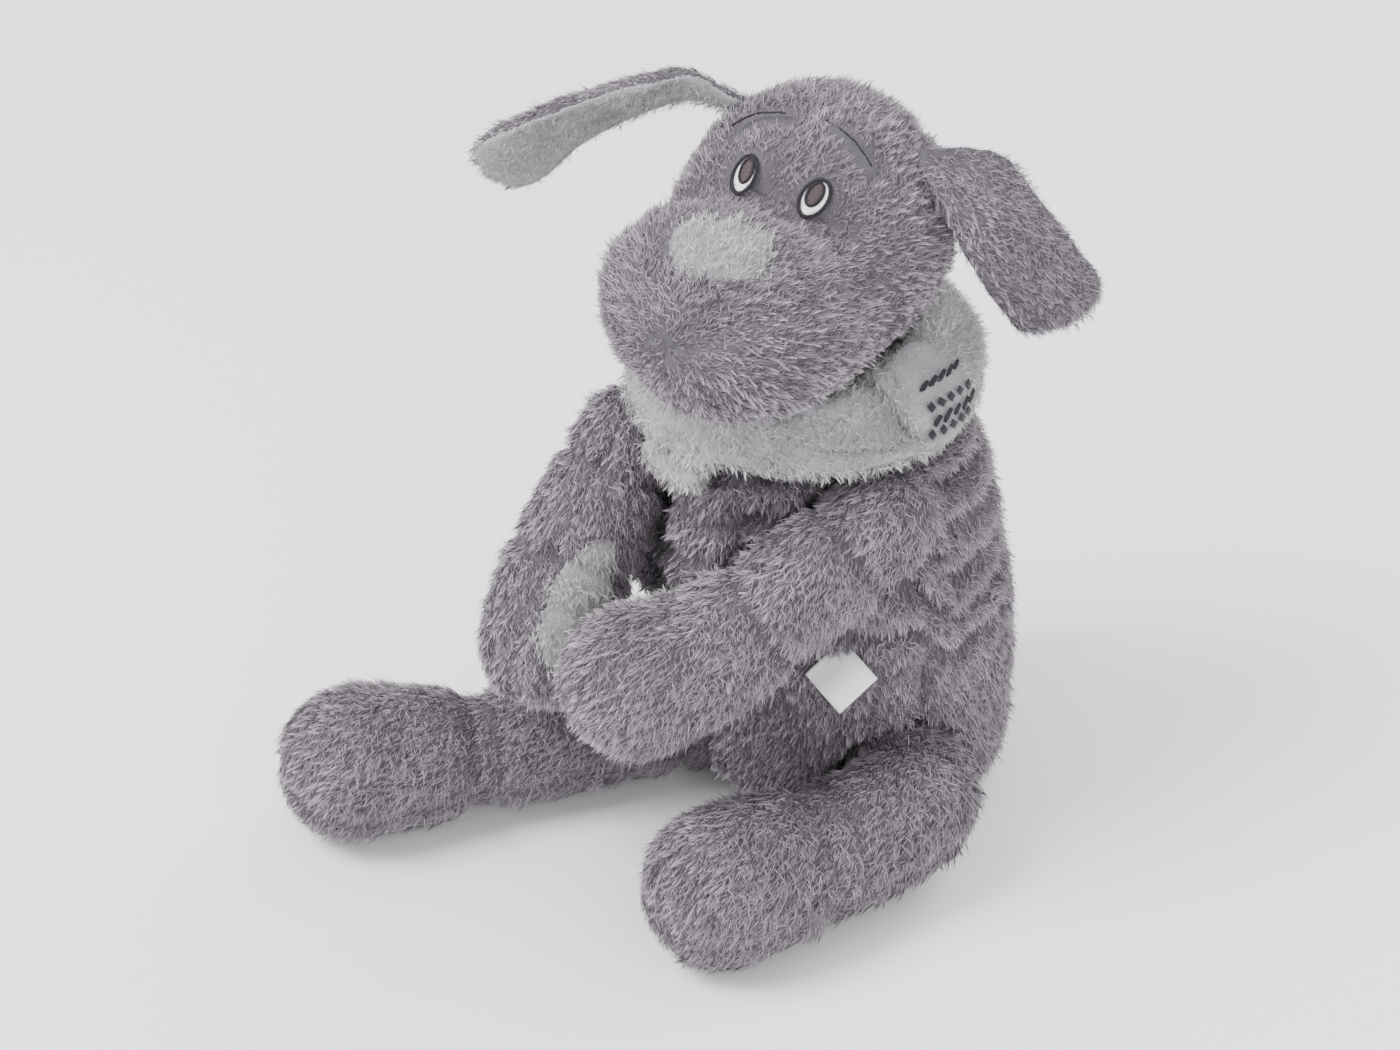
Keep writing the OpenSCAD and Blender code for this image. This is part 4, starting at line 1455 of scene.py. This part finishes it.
@dataclass
class Patch:
    """A generic zigzag pattern of short thick stitches on the left of the scarf."""

    node: str = "scarf_patch_stitches"
    rows: int = 4
    columns: int = 5
    pitch: float = 4.8 * MM
    width: float = 0.95 * MM
    lift: float = 1.5 * MM

    def make(self, middle: Vector, surface: BVHTree) -> None:
        """Lay rows of slanting stitches on the scarf's outer face.

        Args:
            middle: the middle of the scarf.
            surface: the scarf's skin.
        """
        centre = centre_of(self.node) + Vector((0, 0, PATCH_RAISED))
        flat = centre - middle
        start = math.atan2(flat.y, flat.x)
        round_reach = math.hypot(flat.x, flat.y)
        bm = bmesh.new()
        for row in range(self.rows):
            for column in range(self.columns):
                place_in_row = column - (self.columns - 1) / 2 + 0.3 * (row % 2)
                turn = start + place_in_row * self.pitch / round_reach
                out = Vector((math.cos(turn), math.sin(turn), 0))
                high = centre.z + (row - (self.rows - 1) / 2) * self.pitch
                origin = Vector((middle.x, middle.y, high)) + out * 0.12
                face = surface.ray_cast(origin, -out, 0.11)[0]
                if face is None:
                    continue
                round_way = Vector((-out.y, out.x, 0))
                slant = 0.75 if row % 2 else -0.75
                slant += 0.35 * noise.noise(face * 900)
                along = (Vector((0, 0, 1)) * math.cos(slant) + round_way * math.sin(slant)).normalized()
                side = along.cross(out).normalized()
                half = along * (2.1 + 0.7 * noise.noise(face * 500)) * MM
                for k in (-1, 0, 1):
                    place = face + out * self.lift + side * k * self.width * 0.8
                    thread_bar(bm, place - half, place + half, self.width, out)
        sew_on(bm, self.node, "torso")


@dataclass
class Brows:
    """Two curved lines of back stitches over the eyes."""

    node: str = "brow_stitches"
    stitches: int = 7
    lift: float = 2.2 * MM

    def make(self, inside: Vector) -> None:
        """Lay a chain of threads along each packed line.

        Args:
            inside: the middle of the head.
        """
        source = cad_copy([self.node])
        bm = bmesh.new()
        for shell in islands(source):
            points = [v.co.copy() for v in shell]
            low = min(points, key=lambda p: p.x)
            high = max(points, key=lambda p: p.x)
            axis = (high - low).normalized()
            span = (high - low).dot(axis)
            line = []
            for k in range(self.stitches + 1):
                at = span * k / self.stitches
                nearby = sorted(points, key=lambda p: abs((p - low).dot(axis) - at))[:8]
                mid = sum(nearby, Vector()) / len(nearby)
                line.append(mid + (mid - inside).normalized() * self.lift)
            for a, b in zip(line, line[1:]):
                thread_bar(bm, a, b, 1.0 * MM, (a - inside).normalized())
        source.free()
        sew_on(bm, self.node, "head")


@dataclass
class Tail:
    """A short stuffed tail at the back."""

    def make(self) -> None:
        """Build the tail's skins and filling."""
        SewnSkin("tail", heather("tail_skin_upper", "tail_skin_lower"),
                 ["tail_filling"], lambda p, n: Vector((0, 1, 0.6)), voxel=1.6 * MM).make()
        Stuffing("tail_filling", "tail", 3 * MM).make()


@dataclass
class Ribbon:
    """The folded satin ribbon sewn into the side."""

    cloth: float = 0.3 * MM
    length: float = 16 * MM
    width: float = 17 * MM
    way: tuple[float, float, float] = (0.782, 0.046, -0.619)
    across: tuple[float, float, float] = (-0.398, -0.702, -0.594)
    lift: float = 4 * MM

    def make(self) -> None:
        """Fold the ribbon on itself and sew its two ends together at the edge."""
        length, width = self.length, self.width
        way, across = Vector(self.way).normalized(), Vector(self.across).normalized()
        start = centre_of("side_label") - way * length / 2
        out = across.cross(way).normalized()
        outward = 1 if out.y < 0 else -1
        bm = bmesh.new()
        half = across * width / 2
        gap = 0.45 * MM
        path = [(t, gap) for t in (-0.06, 0.0, 0.25, 0.5, 0.75, 0.93)]
        path += [(0.985, gap * 0.7), (1.0, 0.0), (0.985, -gap * 0.7)]
        path += [(t, -gap) for t in (0.93, 0.75, 0.5, 0.25, 0.0, -0.06)]

        def spot(t: float, h: float) -> Vector:
            """Give a place on the ribbon's middle line, with a slow curl."""
            curl = self.lift * smooth_step(0.0, 0.5, t) + 1.1 * MM * math.sin(t * 2.4)
            return start + way * length * t + out * (h + curl * outward)
        first = [bm.verts.new(spot(*path[0]) - half), bm.verts.new(spot(*path[0]) + half)]
        edge = bm.edges.new(first)
        for place in path[1:]:
            grown = bmesh.ops.extrude_edge_only(bm, edges=[edge])["geom"]
            verts = [g for g in grown if isinstance(g, bmesh.types.BMVert)]
            edge = next(g for g in grown if isinstance(g, bmesh.types.BMEdge)
                        and all(v in verts for v in g.verts))
            for vert in verts:
                sign = 1 if (vert.co - start).dot(across) > 0 else -1
                vert.co = spot(*place) + half * sign
        bmesh.ops.subdivide_edges(bm, edges=[e for e in bm.edges if e.calc_length() > width * 0.9],
                                  cuts=7, use_grid_fill=True)
        uv = bm.loops.layers.uv.new("cloth")
        for face in bm.faces:
            for loop in face.loops:
                rel = loop.vert.co - start
                loop[uv].uv = (rel.dot(way), rel.dot(across))
        piece = from_bmesh("side_label_ribbon", bm)
        step = piece.modifiers.new("cloth", "SOLIDIFY")
        step.thickness = self.cloth
        step.offset = 0
        apply_modifiers(piece)
        piece.data.materials.append(RIBBON.material())
        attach(piece, "torso")
        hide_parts("side_label")
        LOG.info("%s: ribbon %.1f by %.1f mm", piece.name, width / MM, 2.12 * length / MM)


@dataclass
class Studio:
    """The pale floor, the soft lights and the camera."""

    azimuth: float = 33.0
    elevation: float = 32.0
    distance: float = 1.1
    target: tuple[float, float, float] = (0.0, -0.026, 0.12)
    lens: float = 84.9
    right_by: float = 38.3 * MM
    above_by: float = 8.3 * MM

    def aim(self, obj: bpy.types.Object, at: Vector) -> None:
        """Point an object's -Z at a place."""
        obj.rotation_euler = (at - obj.location).to_track_quat("-Z", "Y").to_euler()

    def camera(self) -> None:
        """Set the camera at the dog's front left, a little above it."""
        a, e = math.radians(self.azimuth), math.radians(self.elevation)
        back = Vector((math.sin(a) * math.cos(e), -math.cos(a) * math.cos(e), math.sin(e)))
        right = Vector((math.cos(a), math.sin(a), 0))
        up = back.cross(right)
        target = Vector(self.target)
        data = bpy.data.cameras.new("camera")
        data.lens = self.lens
        data.sensor_width = 36
        cam = bpy.data.objects.new("camera", data)
        cam.location = target + back * self.distance
        bpy.context.scene.collection.objects.link(cam)
        self.aim(cam, target - right * self.right_by - up * self.above_by)
        bpy.context.scene.camera = cam

    def light(self, name: str, place: tuple[float, float, float], size: float, power: float) -> None:
        """Hang one soft light that looks at the dog.

        Args:
            name: the light's name.
            place: where it hangs.
            size: the side of its square face.
            power: its power in watts.
        """
        data = bpy.data.lights.new(name, "AREA")
        data.size = size
        data.energy = power
        lamp = bpy.data.objects.new(name, data)
        lamp.location = place
        bpy.context.scene.collection.objects.link(lamp)
        self.aim(lamp, Vector((0, -0.03, 0.12)))

    def make(self) -> None:
        """Set up the floor, the lights, the surroundings and the camera."""
        bm = bmesh.new()
        bmesh.ops.create_grid(bm, x_segments=1, y_segments=1, size=4.0,
                              matrix=Matrix.Translation((0, 0, -0.3 * MM)))
        floor = from_bmesh("floor", bm, smooth=False)
        mat = bpy.data.materials.new("painted_board_matt_white")
        mat.use_nodes = True
        shader = mat.node_tree.nodes["Principled BSDF"]
        shader.inputs["Base Color"].default_value = linear("F7F7F8")
        shader.inputs["Roughness"].default_value = 0.9
        floor.data.materials.append(mat)
        self.light("key", (-0.8, -1.3, 1.9), 1.1, 78)
        self.light("fill", (1.6, -1.0, 1.1), 1.6, 22)
        self.light("rim", (0.5, 1.5, 1.5), 1.4, 24)
        world = bpy.data.worlds.new("studio")
        world.use_nodes = True
        world.node_tree.nodes["Background"].inputs["Color"].default_value = (1, 1, 1, 1)
        world.node_tree.nodes["Background"].inputs["Strength"].default_value = 1.2
        bpy.context.scene.world = world
        self.camera()


def dress_bags() -> None:
    """Give the pellet bags that stay as packed their cotton cloth."""
    for name, obj in frame["nodes"].items():
        if "pellet_bag" in name:
            obj.data.materials.clear()
            obj.data.materials.append(BAG_CLOTH.material())


def limbs() -> list[Limb]:
    """Describe the four limbs by their panels and middle lines, in millimetres."""
    return [
        Limb("arm_left", heather("arm_outer_left", "arm_inner_left")
             | {"palm_pad_left": SHORT_PALE}, "arm_filling_left",
             [(43, -53, 143), (25, -80, 120), (8, -98, 103), (-8, -113, 95)],
             ["hand_pellet_bag_left"], (0.12, 0.5), pad="palm_pad_left",
             pad_way=(-0.85, 0.3, 0.25), pad_span=(0.55, 1.1), pad_turn=0.75),
        Limb("arm_right", heather("arm_outer_right", "arm_inner_right")
             | {"palm_pad_right": SHORT_PALE}, "arm_filling_right",
             [(-52, -60, 143), (-55, -80, 118), (-57.5, -91, 98), (-59, -98, 80)],
             ["hand_pellet_bag_right"], (0.12, 0.55), pad="palm_pad_right",
             pad_way=(0.766, -0.642, 0.05), pad_span=(0.4, 1.02), pad_turn=0.6),
        Limb("leg_left", heather("leg_upper_left", "leg_under_left", "foot_top_left", "foot_sole_left"),
             "leg_filling_left", [(42, -30, 26), (52, -45, 28), (44, -77, 27), (26, -115, 28)],
             ["foot_pellet_bag_left"], (0.1, 0.66)),
        Limb("leg_right", heather("leg_upper_right", "leg_under_right", "foot_top_right", "foot_sole_right"),
             "leg_filling_right",
             [(-42, -30, 26), (-60, -58, 26), (-86, -95, 25), (-115, -133, 28)],
             (), (0.1, 0.68)),
    ]


def main() -> None:
    """Build the dog piece by piece, then the studio."""
    logging.basicConfig(level=logging.INFO, format="%(message)s")
    Torso().make()
    Neck().make()
    Head().make()
    for side in Side:
        Ear(side).make()
    for limb in limbs():
        limb.make()
    Tail().make()
    Scarf().make()
    StitchGroup("back_closing_stitches", "torso").make(centre_of("torso_filling"))
    Ribbon().make()
    dress_bags()
    GROWER.clear()
    Studio().make()


if __name__ == "__main__":
    main()
